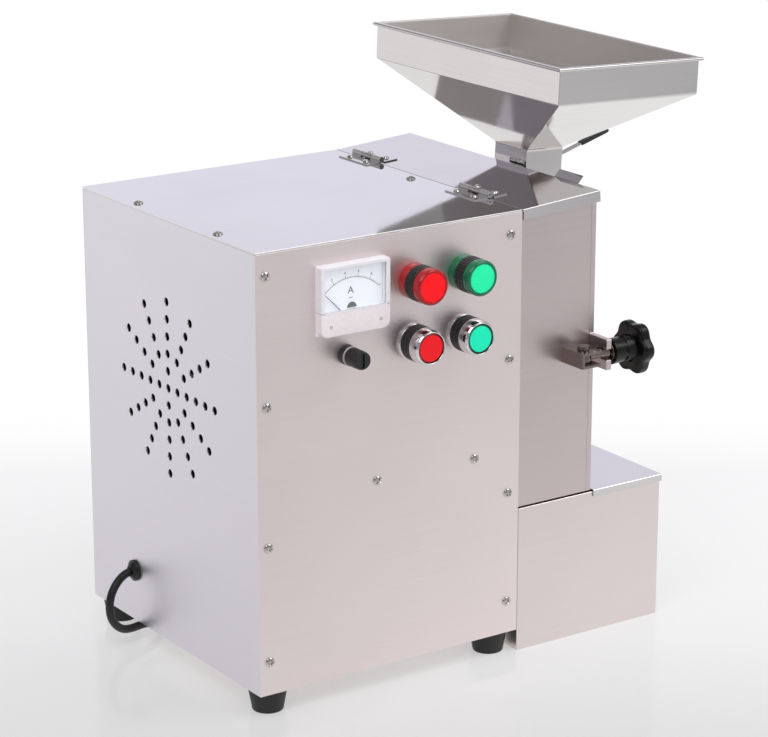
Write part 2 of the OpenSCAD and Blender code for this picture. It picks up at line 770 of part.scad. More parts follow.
module door_hinges() {
    r = barrel_hinge_d / 2;
    height = lid_under(column_x1) - column_z;
    color("gray") place() for (z = [column_z + height * 0.16, column_z + height * 0.68]) {
        translate([door_x1 - door_t / 2, back_y - r, z]) cylinder(h = 40, d = barrel_hinge_d);
        block([column_x1 - 24, column_y1, z + 2], [door_x1 - door_t / 2, column_y1 + 2, z + 38]);
        block([door_x1 - door_t / 2 - 1.5, column_y1, z + 2],
            [door_x1 - door_t / 2 + 1.5, back_y - r, z + 38]);
    }
}

// Feed chute on the door, with a seat plate for the hopper's neck
module feed_chute() {
    low = axis_z - feed_hole_d / 2 - 6;
    color("gainsboro") place() translate([0, axis_y, 0]) difference() {
        translate([0, chute_d / 2, 0]) rotate([90, 0, 0]) linear_extrude(chute_d)
            polygon([[door_x1, low], [door_x1 + 6, low], [chute_x1, low + 58],
                [chute_x1, seat_z], [door_x1, seat_z]]);
        translate([0, chute_d / 2 - chute_wall, 0]) rotate([90, 0, 0])
            linear_extrude(chute_d - 2 * chute_wall) polygon([[door_x1 - 1, low + 3], [door_x1 + 5, low + 3],
                [chute_x1 - chute_wall, low + 60], [chute_x1 - chute_wall, chute_top],
                [door_x1 - 1, chute_top]]);
        block([neck_x - neck_w / 2 - clear, -neck_d / 2 - clear, chute_top - 1],
            [neck_x + neck_w / 2 + clear, neck_d / 2 + clear, seat_z + 1]);
    }
}
// A rectangle of the hopper's sheet at height z above its seat, upright below the bend and leaning above it
function hopper_ring(w, d, z, lean) = [for (c = [[-1, -1], [1, -1], [1, 1], [-1, 1]])
    [neck_x + c[0] * w / 2 * cos(lean) + z * sin(lean), axis_y + c[1] * d / 2,
        seat_z - c[0] * w / 2 * sin(lean) + z * cos(lean)]];
module hopper() {
    t = hopper_sheet;
    seat_w = 4;
    tray_z = neck_l + slope_h;
    wall_w = tray_w - 2 * hem;
    wall_d = tray_d - 2 * hem;
    rings = concat(
        hopper_ring(neck_w, neck_d, -spigot_l, 0),
        hopper_ring(neck_w, neck_d, 0, 0),
        hopper_ring(neck_w + 2 * seat_w, neck_d + 2 * seat_w, 0, 0),
        hopper_ring(neck_w + 2 * seat_w, neck_d + 2 * seat_w, t, 0),
        hopper_ring(neck_w, neck_d, t, 0),
        hopper_ring(neck_w, neck_d, neck_l, hopper_lean),
        hopper_ring(wall_w, wall_d, tray_z, hopper_lean),
        hopper_ring(wall_w, wall_d, hopper_h - hem, hopper_lean),
        hopper_ring(tray_w, tray_d, hopper_h - hem, hopper_lean),
        hopper_ring(tray_w, tray_d, hopper_h, hopper_lean),
        hopper_ring(wall_w - 2 * t, wall_d - 2 * t, hopper_h, hopper_lean),
        hopper_ring(wall_w - 2 * t, wall_d - 2 * t, tray_z, hopper_lean),
        hopper_ring(neck_w - 2 * t, neck_d - 2 * t, neck_l, hopper_lean),
        hopper_ring(neck_w - 2 * t, neck_d - 2 * t, t, 0),
        hopper_ring(neck_w - 2 * t, neck_d - 2 * t, -spigot_l, 0));
    n = len(rings) / 4;
    color("gainsboro") place() difference() {
        polyhedron(points = rings, convexity = 10, faces = [for (i = [0 : n - 1]) for (k = [0 : 3])
            let (j = (i + 1) % n, m = (k + 1) % 4) [4 * i + k, 4 * j + k, 4 * j + m, 4 * i + m]]);
        translate([neck_x, 0, z0 + gate_z]) {
            block([0, axis_y - gate_w / 2 - gate_play, -gate_play],
                [neck_w, axis_y + gate_w / 2 + gate_play, gate_t + gate_play]);
            block([-neck_w, gate_tip_y - gate_tip_w / 2 - gate_play, -gate_play - 0.8],
                [0, gate_tip_y + gate_tip_w / 2 + gate_play, gate_t + gate_play + 0.8]);
        }
    }
}
// The gate is a flat plate with a tongue at its left, and a handle strip bent up at its right
module gate_plate() {
    low = axis_y - gate_w / 2;
    high = axis_y + gate_w / 2;
    tip = [gate_tip_y - gate_tip_w / 2, gate_tip_y + gate_tip_w / 2];
    strip = [gate_tip_y - handle_w / 2, gate_tip_y + handle_w / 2];
    fold = gate_t * tan(gate_lift / 2);
    end = handle_l - 3;
    color("gainsboro") place() translate([0, 0, z0 + gate_z]) {
        linear_extrude(gate_t) polygon([[gate_x0 - 2.5, tip[0]], [gate_x0, tip[0]], [gate_x0, low],
            [gate_x1 - 8, low], [gate_x1 - 8, strip[0]], [gate_x1 - 2, strip[0]], [gate_x1 - 2, strip[1]],
            [gate_x1 - 8, strip[1]], [gate_x1 - 8, high], [gate_x0, high], [gate_x0, tip[1]],
            [gate_x0 - 2.5, tip[1]]]);
        translate([0, strip[1], 0]) rotate([90, 0, 0]) linear_extrude(handle_w)
            polygon([[gate_x1 - 2, 0], [gate_x1, 0], [gate_x1 + end * cos(gate_lift), end * sin(gate_lift)],
                [gate_x1 + end * cos(gate_lift) - gate_t * sin(gate_lift),
                    end * sin(gate_lift) + gate_t * cos(gate_lift)],
                [gate_x1 - fold, gate_t], [gate_x1 - 2, gate_t]]);
    }
}
module gate_grip() {
    color("#1c1c1e") place() translate([gate_x1, gate_tip_y, z0 + gate_z]) rotate([0, -gate_lift, 0])
    difference() {
        block([handle_l - grip_l, -handle_w / 2 - grip_wall, -grip_wall],
            [handle_l, handle_w / 2 + grip_wall, gate_t + grip_wall]);
        block([handle_l - grip_l - 1, -handle_w / 2 - run, -run],
            [handle_l - 3 + run, handle_w / 2 + run, gate_t + run]);
    }
}

// Lid and its hinges
module lid() {
    t = -hinge_drop;
    color("gainsboro") place() on_lid() {
        block([lid_x0, lid_y0, t - sheet], [lid_x1, lid_y1, t]);
        block([lid_x0 + 0.6, lid_y0, t - lip_h], [lid_x1, lid_y0 + sheet, t - sheet + 0.1]);
        block([lid_x0 + 0.6, lid_y1 - sheet, t - lip_h], [lid_x1, lid_y1, t - sheet + 0.1]);
        block([lid_x1 - sheet, lid_y0, t - lip_h], [lid_x1, lid_y1, t - sheet + 0.1]);
        translate([lid_x1, tab_y, t]) rotate([0, -tab_angle, 0]) block([-0.8, 0, -sheet], [tab_l, tab_w, 0]);
    }
}
knuckle_l = hinge_l / 3;
knuckle_play = 0.2;
module leaf(side, from, to) {
    block([side < 0 ? -leaf_w : knuckle_d / 2 + 0.4, 0, -hinge_drop],
        [side < 0 ? -knuckle_d / 2 - 0.4 : leaf_w, hinge_l, -hinge_drop + 1]);
    for (y = [9, hinge_l - 9]) translate([side * (leaf_w - 5.5), y, -hinge_drop + 0.9])
        cylinder(h = 1.8, d1 = 6.4, d2 = 3.6);
    for (k = [from : 2 : to]) difference() {
        union() {
            translate([0, k * knuckle_l + knuckle_play, 0]) rod_y(0, knuckle_l - 2 * knuckle_play, knuckle_d);
            block([side < 0 ? -knuckle_d / 2 - 0.5 : 0, k * knuckle_l + knuckle_play, -knuckle_d / 2],
                [side < 0 ? 0 : knuckle_d / 2 + 0.5, (k + 1) * knuckle_l - knuckle_play, -knuckle_d / 2 + 1]);
        }
        rod_y(-1, hinge_l + 1, hinge_pin_d + 2 * run);
    }
}
module hinge_body_leaves() {
    color("gainsboro") place() for (y = hinge_ys) translate([hinge_x, y, hinge_z]) leaf(-1, 0, 2);
}
module hinge_lid_leaves() {
    color("gainsboro") place() on_lid() for (y = hinge_ys) translate([0, y, 0]) leaf(1, 1, 1);
}
module hinge_pins() {
    color("gray") place() for (y = hinge_ys)
        translate([hinge_x, y, hinge_z]) rod_y(-0.5, hinge_l + 0.5, hinge_pin_d);
}

// Clamp
module clamp_bracket() {
    low = clamp_at - clevis_gap / 2 - clevis_plate;
    high = clamp_at + clevis_gap / 2 + clevis_plate;
    front = column_y0 - bracket_d;
    color("silver") place() {
        difference() {
            block([bracket_x0, front, low], [bracket_x0 + bracket_w, column_y0, high]);
            block([bracket_x0 + 2.5, front - 1, low + clevis_plate],
                [bracket_x0 + bracket_w + 1, column_y0 - 2.5, high - clevis_plate]);
            translate([pin_x, -bolt_y, low - 1]) cylinder(h = high - low + 2, d = pin_d + 2 * run);
        }
        translate([pin_x, -bolt_y, low - 2]) cylinder(h = high - low + 3, d = pin_d);
        translate([pin_x, -bolt_y, high]) cylinder(h = 3, d = pin_d + 4);
    }
}
module swing_bolt() {
    color("gainsboro") place() translate([0, -bolt_y, clamp_at]) difference() {
        union() {
            translate([pin_x, 0, -clevis_gap / 2 + clear]) cylinder(h = clevis_gap - 2 * clear, d = 13);
            rod_x(pin_x, star_x1 - 4, bolt_d);
            rod_x(door_x1 + lug_gap, hub_x0 - clear, 18);
        }
        translate([pin_x, 0, -clevis_gap]) cylinder(h = 2 * clevis_gap, d = pin_d + 2 * run);
    }
}
knob_lobes = 6;
knob_notch = 3.2;
lobe_r = 9;
module star_knob() {
    color("#1c1c1e") place() translate([0, -bolt_y, clamp_at]) difference() {
        union() {
            rod_x(hub_x0, star_x0 + 1, 22);
            translate([star_x0, 0, 0]) rotate([0, 90, 0]) linear_extrude(knob_t) {
                circle(r = knob_d / 2 - knob_notch);
                for (k = [0 : knob_lobes - 1]) rotate(-90 + k * 360 / knob_lobes)
                    translate([knob_d / 2 - lobe_r, 0]) circle(r = lobe_r);
            }
        }
        rod_x(hub_x0 - 1, star_x1 - 3, bolt_d + 2 * run);
    }
}

// Collecting bin and its lid
module collection_bin() {
    t = bin_sheet;
    color("silver") place() difference() {
        block([bin_x0, bin_y0, 0], [bin_x1, bin_y1, bin_h]);
        block([bin_x0 + t, bin_y0 + t, t], [bin_x1 - t, bin_y1 - t, bin_h + 1]);
    }
}
module bin_lid() {
    t = bin_sheet;
    low = bin_h + clear - bin_lip;
    y0 = bin_y0 - clear - t;
    y1 = bin_y1 + clear + t;
    x1 = bin_x1 + clear + t;
    color("gainsboro") place() {
        block([bin_lid_x0, y0, bin_h + clear], [x1, y1, bin_h + clear + t]);
        block([bin_lid_x0, y0, low], [x1, y0 + t, bin_h + clear + 0.1]);
        block([bin_lid_x0, y1 - t, low], [x1, y1, bin_h + clear + 0.1]);
        block([x1 - t, y0, low], [x1, y1, bin_h + clear + 0.1]);
    }
}

// Power cord
module cord_gland() {
    color("#161618") place() translate([0, gland_y, z0 + gland_z]) difference() {
        union() {
            rod_x(-2.5, 0, gland_d);
            rotate([0, -90, 0]) cylinder(h = gland_out, d1 = cord_d + 10, d2 = cord_d + 3);
            rod_x(-0.1, 20 - gland_out, cord_d + 5 - 2 * run);
        }
        rod_x(-gland_out - 1, 21, cord_d + 2 * run);
    }
}
module power_cord() { color("#161618") place() tube(cord_route, cord_d, 10); }
module cord_coil() { color("#161618") place() tube(coil_path, cord_d, 6); }
module cord_tie() {
    r0 = coil_inner_r - cord_d / 2 - 0.4;
    r1 = coil_outer_r + cord_d / 2 + 0.4;
    low = coil_z - cord_d / 2 - 0.3;
    high = coil_z + coil_rise + cord_d / 2 + 0.3;
    color("#2b2b2e") place() translate([coil_x, coil_y, 0]) rotate([0, 0, -45]) difference() {
        block([r0 - 1, -4, low - 0.8], [r1 + 1, 4, high + 0.8]);
        block([r0, -5, low], [r1, 5, high]);
    }
}
module plug() {
    color("#161618") place() translate(coil_end + [tail_l, 0, 0]) {
        block([0, -plug_d / 2, -plug_d / 2], [plug_l, plug_d / 2, plug_d / 2]);
        for (y = [-6.35, 6.35]) block([plug_l - 1, y - 0.8, -3.2], [plug_l + 17, y + 0.8, 3.2]);
        rod_x(plug_l - 1, plug_l + 20, 4.8);
    }
}

base_plate();
left_end_panel();
front_panel();
back_panel();
top_cover();
bulkhead();
column_shell();
chamber_door();
door_hinges();
feed_chute();
hopper();
gate_plate();
gate_grip();
lid();
hinge_body_leaves();
hinge_lid_leaves();
hinge_pins();
rubber_feet();
foot_screws();
panel_screws();
top_screws();
meter_case();
meter_dial();
meter_needle();
meter_window();
meter_apron();
fuse_holder();
fuse_cap();
lamp_bodies();
red_lens();
green_lens();
button_bodies();
button_bezels();
stop_cap();
start_cap();
contact_blocks();
panel_nuts();
control_bracket();
motor_frame();
stator();
end_bells();
motor_shaft();
rotor_core();
bearings();
cooling_fan();
grinding_drum();
ring_screen();
grinding_rotor();
fixed_disc();
clamp_bracket();
swing_bolt();
star_knob();
collection_bin();
bin_lid();
cord_gland();
power_cord();
cord_coil();
cord_tie();
plug();
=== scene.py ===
"""Peanut grinding machine: the looks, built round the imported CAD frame. Sizes are millimetres measured from
the cabinet's front left corner on the floor, and become metres in the frame's axes when a piece is made."""
import math

import bmesh
import bpy
import numpy as np
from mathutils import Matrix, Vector


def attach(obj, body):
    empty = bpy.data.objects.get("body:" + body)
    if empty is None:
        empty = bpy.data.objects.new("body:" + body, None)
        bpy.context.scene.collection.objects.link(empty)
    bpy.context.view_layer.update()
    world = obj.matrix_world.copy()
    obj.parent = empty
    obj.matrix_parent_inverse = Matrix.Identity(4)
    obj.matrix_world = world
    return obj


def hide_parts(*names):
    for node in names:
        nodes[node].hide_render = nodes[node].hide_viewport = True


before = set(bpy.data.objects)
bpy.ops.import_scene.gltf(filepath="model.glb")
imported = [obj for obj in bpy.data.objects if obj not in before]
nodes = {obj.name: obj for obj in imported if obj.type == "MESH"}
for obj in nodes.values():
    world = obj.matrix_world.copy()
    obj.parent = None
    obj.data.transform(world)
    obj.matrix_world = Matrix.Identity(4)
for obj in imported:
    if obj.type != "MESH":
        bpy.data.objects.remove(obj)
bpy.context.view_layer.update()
scene = bpy.context.scene
scene.view_settings.view_transform = "Standard"

# Camera: in front of the machine, to its left and a little above it, with a long lens that
# keeps the cabinet's edges nearly parallel.
azimuth, elevation = math.radians(-34.33), math.radians(16.82)
camera_back = Vector((math.sin(azimuth) * math.cos(elevation), -math.cos(azimuth) * math.cos(elevation),
                      math.sin(elevation)))
lens = bpy.data.cameras.new("camera")
lens.lens, lens.sensor_width, lens.sensor_fit = 131.6, 36, "HORIZONTAL"
camera = bpy.data.objects.new("camera", lens)
camera.location = (-1.288817, -1.857950, 0.905500)
camera.rotation_euler = (-camera_back).to_track_quat("-Z", "Y").to_euler()
scene.collection.objects.link(camera)
scene.camera = camera


# Power cord: round PVC mains lead that leaves the left panel low down, loops down under it and goes
# behind the machine, where the rest is wound in a tied coil. Extruded PVC is black with a soft sheen.
cord_d = 7
cord_route = np.array([
    [10, 197, 64], [2, 197, 64], [-4.5, 197, 64], [-13.9, 194.5, 62.1], [-21.9, 192.3, 56.5],
    [-27.3, 190.9, 48.3], [-29.1, 190.4, 38.5], [-27.3, 190.9, 28.7], [-21.9, 192.3, 20.5],
    [-13.9, 194.5, 14.9], [-4.5, 197, 13], [5.3, 199.8, 12.6], [15.2, 203.2, 11.2], [25, 207.4, 9.2],
    [34.4, 212.6, 7.2], [43.2, 218.8, 5.6], [51.5, 226, 4.9], [59.4, 233.7, 4.8], [67, 241.7, 4.8],
    [74.2, 250, 4.8], [80.7, 258.9, 4.8], [86.3, 268.3, 4.8], [90.8, 278.3, 4.8], [94, 288.8, 4.8],
    [95.7, 299.7, 4.8], [96, 310, 4.8]], float)
coil_entry_x, coil_y = 96, 332.0
coil_outer, coil_inner, coil_pitch, coil_low = 48.2875, 30.0, 7.7, 4.8
coil_centre = np.array([coil_entry_x + coil_outer, coil_y])
turn_steps, layer_steps, climb_steps = 24, 57, 12
tail_length = 40
# The frame's origin, measured from the cabinet's front left corner
origin = np.array([219.41724, 120.25, 0.0])


def linear(code):
    """sRGB hex to linear RGBA: c / 12.92 up to 0.04045, above it ((c + 0.055) / 1.055) to the power 2.4."""
    c = np.array([int(code[i:i + 2], 16) for i in (1, 3, 5)]) / 255
    return (*np.where(c <= 0.04045, c / 12.92, ((c + 0.055) / 1.055) ** 2.4).tolist(), 1.0)


def add(tree, kind, values=None, **settings):
    """Adds one shader node: settings are its properties, values its inputs, constants or linked sockets."""
    made = tree.nodes.new("ShaderNode" + kind)
    for key, value in settings.items():
        setattr(made, key, value)
    for key, value in (values or {}).items():
        if isinstance(value, bpy.types.NodeSocket):
            tree.links.new(value, made.inputs[key])
        else:
            made.inputs[key].default_value = value
    return made


def moulded(name, dark, light, roughness, grain, relief, **sockets):
    """Moulded plastic or rubber: noise of the given grain (mm) shades between two colours, makes the gloss
    uneven by a tenth and raises the skin by relief (mm); a slow noise fifty grains wide shades it again."""
    material = bpy.data.materials.new(name)
    material.use_nodes = True
    tree = material.node_tree
    tree.nodes.clear()
    place = add(tree, "TexCoord").outputs["Object"]
    fine = add(tree, "TexNoise", {"Vector": place, "Scale": 1000 / grain, "Detail": 3.0}).outputs["Fac"]
    slow = add(tree, "TexNoise", {"Vector": place, "Scale": 20 / grain, "Detail": 2.0}).outputs["Fac"]
    blend = add(tree, "Math", {0: fine, 1: slow}, operation="MULTIPLY").outputs[0]
    spread = add(tree, "MapRange", {"Value": blend, "From Min": 0.1, "From Max": 0.42}).outputs[0]
    colour = add(tree, "Mix", {0: spread, 6: linear(dark), 7: linear(light)}, data_type="RGBA").outputs[2]
    gloss = add(tree, "MapRange", {"Value": fine, "From Min": 0.3, "From Max": 0.7,
                                   "To Min": roughness * 0.9, "To Max": roughness * 1.1}).outputs[0]
    bump = add(tree, "Bump", {"Height": fine, "Strength": 0.5, "Distance": relief / 1000}).outputs[0]
    surface = add(tree, "BsdfPrincipled", {"Base Color": colour, "Roughness": gloss, "Normal": bump,
                                           **sockets})
    add(tree, "OutputMaterial", {"Surface": surface.outputs[0]})
    return material


# Extruded PVC: near black, half gloss, with a faint drawn texture drawn coarse enough to show
black_pvc = moulded("black_pvc", "#0c0b0c", "#191819", 0.40, 1.5, 0.05)

step = np.arange(2 * layer_steps + climb_steps + 1)
up = np.clip((step - layer_steps) / climb_steps, 0, 1)
second_layer = np.clip(step - layer_steps - climb_steps, 0, None)
coil_radius = np.where(step < layer_steps, coil_outer - coil_pitch * step / turn_steps,
                       coil_inner + coil_pitch * second_layer / turn_steps)
turning = np.pi - step * 2 * np.pi / turn_steps
coil = np.column_stack([coil_centre[0] + coil_radius * np.cos(turning),
                        coil_centre[1] + coil_radius * np.sin(turning),
                        coil_low + coil_pitch * (1 - np.cos(np.pi * up)) / 2])
lead_in = [[coil_entry_x, coil_y - 12, coil_low], [coil_entry_x, coil_y - 5, coil_low]]
cord_end = coil[-1] + [tail_length, 0, 0]
cord_points = np.vstack([cord_route, lead_in, coil, [coil[-1] + [tail_length / 2, 0, 0]], [cord_end]])
cord_line = bpy.data.curves.new("power_cord_line", "CURVE")
cord_line.dimensions = "3D"
cord_line.bevel_depth, cord_line.bevel_resolution, cord_line.use_fill_caps = cord_d / 2000, 5, True
cord_spline = cord_line.splines.new("POLY")


def through(points, steps):
    """Catmull-Rom curve: between two points the cubic takes its slopes from their neighbours, in equal
    steps."""
    ends = np.vstack([2 * points[0] - points[1], points, 2 * points[-1] - points[-2]])
    a, b, c, d = ends[:-3, None], ends[1:-2, None], ends[2:-1, None], ends[3:, None]
    t = (np.arange(steps) / steps)[None, :, None]
    curve = (b + t * (c - a) / 2 + t ** 2 * (2 * a - 5 * b + 4 * c - d) / 2
             + t ** 3 * (3 * b - 3 * c + d - a) / 2)
    return np.vstack([curve.reshape(-1, 3), points[-1:]])


cord_curve = (through(cord_points, 3) - origin) / 1000
cord_spline.points.add(len(cord_curve) - 1)
cord_spline.points.foreach_set("co", np.column_stack([cord_curve, np.ones(len(cord_curve))]).ravel())
cord_line.materials.append(black_pvc)
power_cord = bpy.data.objects.new("power_cord_lead", cord_line)
scene.collection.objects.link(power_cord)
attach(power_cord, "machine")
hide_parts("power_cord", "cord_coil")


# Cord gland: moulded black bush that grips the cord in the left panel, with a collar against the sheet and
# a short taper over the cord. The same PVC as the cord.
def eased(points, radius, steps=4):
    """Rounds a line's corners: each gives way to a curve from radius before it to radius past it, pulled
    towards the corner (a quadratic curve with the corner as its middle point)."""
    p = np.array(points, float)
    run = np.diff(p, axis=0)
    length = np.linalg.norm(run, axis=1)[:, None]
    reach = np.minimum(radius, np.minimum(length[:-1], length[1:]) / 2)
    before, after = p[1:-1] - run[:-1] / length[:-1] * reach, p[1:-1] + run[1:] / length[1:] * reach
    t = np.linspace(0, 1, steps + 1)[None, :, None]
    curve = (1 - t) ** 2 * before[:, None] + 2 * t * (1 - t) * p[1:-1, None] + t ** 2 * after[:, None]
    return np.vstack([p[:1], curve.reshape(-1, p.shape[1]), p[-1:]])


axes = {"-x": ((-1, 0, 0), (0, 1, 0), (0, 0, 1)), "+x": ((1, 0, 0), (0, 1, 0), (0, 0, 1)),
        "-y": ((0, -1, 0), (1, 0, 0), (0, 0, 1)), "+z": ((0, 0, 1), (1, 0, 0), (0, 1, 0))}


def shell(points, closed_rows=False, closed_columns=True, finish=0):
    """A grid of points (rows, columns, xyz) as vertices, quads and a material number: cell (i, j) joins
    rows i and i + 1 and columns j and j + 1, and a closed direction joins its last line to its first."""
    index = np.arange(points.shape[0] * points.shape[1]).reshape(points.shape[:2])
    index = np.vstack([index, index[:1]]) if closed_rows else index
    index = np.hstack([index, index[:, :1]]) if closed_columns else index
    quads = np.stack([index[:-1, :-1], index[:-1, 1:], index[1:, 1:], index[1:, :-1]], -1)
    return points.reshape(-1, 3), quads.reshape(-1, 4), finish


def turned(profile, centre, axis, steps=48, wave=None, closed=False, finish=0):
    """A turned form: each (along, radius) point of the profile goes round the axis in equal steps, and
    wave(angle, along, radius) may change the radius, for ribs and lobes."""
    out, side, top = np.array(axes[axis], float)
    along, radius = np.array(profile, float).T[:, :, None]
    angle = np.linspace(0, 2 * np.pi, steps, endpoint=False)[None]
    radius = wave(angle, along, radius) if wave else radius + 0 * angle
    points = (np.array(centre) + (along + 0 * angle)[..., None] * out
              + (radius * np.cos(angle))[..., None] * side + (radius * np.sin(angle))[..., None] * top)
    return shell(points, closed_rows=closed, finish=finish)


def make_piece(name, shells, finishes, body, slot, *replaced, crease=35):
    """Joins shells (mm) into one mesh piece in metres: doubles merge, so seams and poles close, faces turn
    outwards, and edges under the crease angle shade smoothly."""
    starts = np.cumsum([0] + [len(s[0]) for s in shells])
    mesh = bpy.data.meshes.new(name)
    mesh.from_pydata(((np.vstack([s[0] for s in shells]) - origin) / 1000).tolist(), [],
                     [face for s, start in zip(shells, starts) for face in (s[1] + start).tolist()])
    mesh.polygons.foreach_set("material_index", np.concatenate([np.full(len(s[1]), s[2]) for s in shells]))
    work = bmesh.new()
    work.from_mesh(mesh)
    bmesh.ops.remove_doubles(work, verts=work.verts, dist=5e-7)
    bmesh.ops.recalc_face_normals(work, faces=work.faces)
    work.to_mesh(mesh)
    work.free()
    mesh.polygons.foreach_set("use_smooth", np.ones(len(mesh.polygons), bool))
    mesh.set_sharp_from_angle(angle=math.radians(crease))
    for material in finishes:
        mesh.materials.append(material)
    made = bpy.data.objects.new(name, mesh)
    made.modifiers.new("flats_stay_flat", "WEIGHTED_NORMAL").keep_sharp = True
    scene.collection.objects.link(made)
    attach(made, body)
    if replaced:
        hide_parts(*replaced)
    return made


gland_at = np.array([0, 197, 64])
gland_profile = eased([[-14.5, 3.6], [-14.5, 5.9], [0, 5.9], [0, 9], [2.5, 9], [2.5, 8], [5.5, 5], [5.5, 3.6],
                       [-14.5, 3.6]], 0.8)
make_piece("cord_gland_bush", [turned(gland_profile[:-1], gland_at, "-x", closed=True)], [black_pvc],
           "machine", "black_rubber", "cord_gland")


# Plug: moulded on the cord's end in the same PVC, with a waisted grip. Its two flat blades and its round
# earth pin are plated brass, held in the moulding.
def rounded_box(width, height, radius, arc=5):
    """Outline of a box with round corners, counter-clockwise: each corner is a quarter circle in arc
    points."""
    turn = np.linspace(0, np.pi / 2, arc)
    quarter = np.concatenate([turn + k * np.pi / 2 for k in range(4)])
    sign = np.repeat(np.array([[1, 1], [-1, 1], [-1, -1], [1, -1]]), arc, axis=0)
    middle = sign * [width / 2 - radius, height / 2 - radius]
    return middle + radius * np.column_stack([np.cos(quarter), np.sin(quarter)])


def stacked(sections, centre, axis, finish=0):
    """A stack of rounded boxes: each section is (along, width, height, corner radius), set square to the
    axis."""
    out, side, top = np.array(axes[axis], float)
    points = np.stack([np.array(centre) + along * out + box[:, :1] * side + box[:, 1:] * top
                       for along, box in ((s[0], rounded_box(*s[1:])) for s in sections)])
    return shell(points, finish=finish)


# Nickel-plated brass: warm silver, bright, with faint draw lines
plated_brass = moulded("nickel_plated_brass", "#c8c2b4", "#d8d3c8", 0.22, 2.0, 0.01, Metallic=1.0)
# A section of this width, height and corner radius closes an end
end_point = (0.1, 0.1, 0.04)
grip = [(0, *end_point), (0, 9, 9, 4.4), (3, 11, 11, 5), (9, 13, 14, 5), (14, 17, 18, 5), (22, 18, 19, 5),
        (28, 21.5, 21.5, 5), (32, 23, 23, 5), (36.6, 23, 23, 5), (38, 21.4, 21.4, 4.6), (38, *end_point)]
blade = [(36.5, *end_point), (36.5, 1.6, 6.4, 0.3), (53.5, 1.6, 6.4, 0.3), (55, 1, 5, 0.3), (55, *end_point)]
blade_side = 6.35
earth_pin = eased([[36.5, 0], [36.5, 2.4], [57.6, 2.4], [58, 0]], 1.5)
plug = make_piece("mains_plug", [stacked(grip, cord_end, "+x"),
                                 stacked(blade, cord_end + [0, -blade_side, 0], "+x", finish=1),
                                 stacked(blade, cord_end + [0, blade_side, 0], "+x", finish=1),
                                 turned(earth_pin, cord_end, "+x", 20, finish=1)],
                  [black_pvc, plated_brass], "machine", "black_rubber", "plug")

# Cord tie: flat strap of the cord's own black PVC round the coil's section, drawn tight so that it holds
# the turns together.
tie_in, tie_out = coil_inner - cord_d / 2 - 0.4, coil_outer + cord_d / 2 + 0.4
tie_size = np.array([tie_out - tie_in, coil_pitch + cord_d + 0.6])
tie_turn = np.array([math.cos(math.radians(-45)), math.sin(math.radians(-45)), 0])
tie_across = np.array([-tie_turn[1], tie_turn[0], 0])
tie_middle = np.array([*coil_centre, coil_low + coil_pitch / 2]) + tie_turn * (tie_in + tie_out) / 2
strap_inner, strap_outer, strap_half = 0.1, 1.6, 4
tie_rows = [(rounded_box(*(tie_size + grow), 3), across) for grow, across in
            ((strap_inner, -strap_half), (strap_outer, -strap_half),
             (strap_outer, strap_half), (strap_inner, strap_half))]
tie_points = np.stack([tie_middle + box[:, :1] * tie_turn + box[:, 1:] * [0, 0, 1] + across * tie_across
                       for box, across in tie_rows])
tie = make_piece("coil_strap", [shell(tie_points, closed_rows=True)], [black_pvc], "machine",
                 "black_plastic", "cord_tie")

# Studio: a glossy white acrylic floor that greys towards the camera, a pale surround, and two soft lamps.
# Half of the floor's tone glows by itself, so its shadows are as faint as in a light tent.
floor_size = 6.0
floor_corners = [(x * floor_size, y * floor_size, 0) for x, y in ((-1, -1), (1, -1), (1, 1), (-1, 1))]
floor_mesh = bpy.data.meshes.new("floor")
floor_mesh.from_pydata(floor_corners, [], [(0, 1, 2, 3)])
floor = bpy.data.objects.new("floor", floor_mesh)
scene.collection.objects.link(floor)
acrylic = bpy.data.materials.new("white_acrylic_floor")
acrylic.use_nodes = True
tree = acrylic.node_tree
tree.nodes.clear()
floor_place = add(tree, "TexCoord").outputs["Object"]
view_way = (0.564, 0.826, 0)
away = add(tree, "VectorMath", {0: floor_place, 1: view_way}, operation="DOT_PRODUCT").outputs["Value"]
floor_near, floor_far = -1.2, 0.5
fade = add(tree, "MapRange", {"Value": away, "From Min": floor_near, "From Max": floor_far}).outputs[0]
ramp = add(tree, "ValToRGB", {0: fade})
stops = ramp.color_ramp.elements
# The floor's tone is painted shade: it greys towards the camera, and a darker band half a metre from the
# machine's middle towards the camera darkens the top of the cabinet's front in its reflection.
for distance, tone in ((-0.8, 0.72), (-0.61, 0.70), (-0.5, 0.58), (-0.38, 0.70), (-0.22, 0.80),
                       (-0.05, 0.91), (0.13, 0.955), (0.24, 0.97), (0.40, 0.99)):
    stops.new((distance - floor_near) / (floor_far - floor_near)).color = (tone, tone, tone, 1)
stops[0].color = (0.6, 0.6, 0.6, 1)
floor_skin = add(tree, "BsdfPrincipled", {"Base Color": ramp.outputs[0], "Roughness": 0.12, "IOR": 2.0})
seen = add(tree, "LightPath").outputs
plain = add(tree, "Math", {0: seen["Is Camera Ray"], 1: seen["Is Glossy Ray"]},
            operation="MAXIMUM").outputs[0]
plain = add(tree, "Math", {0: plain, 1: seen["Is Transmission Ray"]}, operation="MAXIMUM").outputs[0]
far = add(tree, "MapRange", {"Value": away, "From Min": 0.15, "From Max": 0.6},
          interpolation_type="SMOOTHSTEP").outputs[0]
glowing = add(tree, "Math", {0: far, 1: 0.5}, operation="MAXIMUM").outputs[0]
share = add(tree, "Math", {0: glowing, 1: plain}, operation="MULTIPLY").outputs[0]
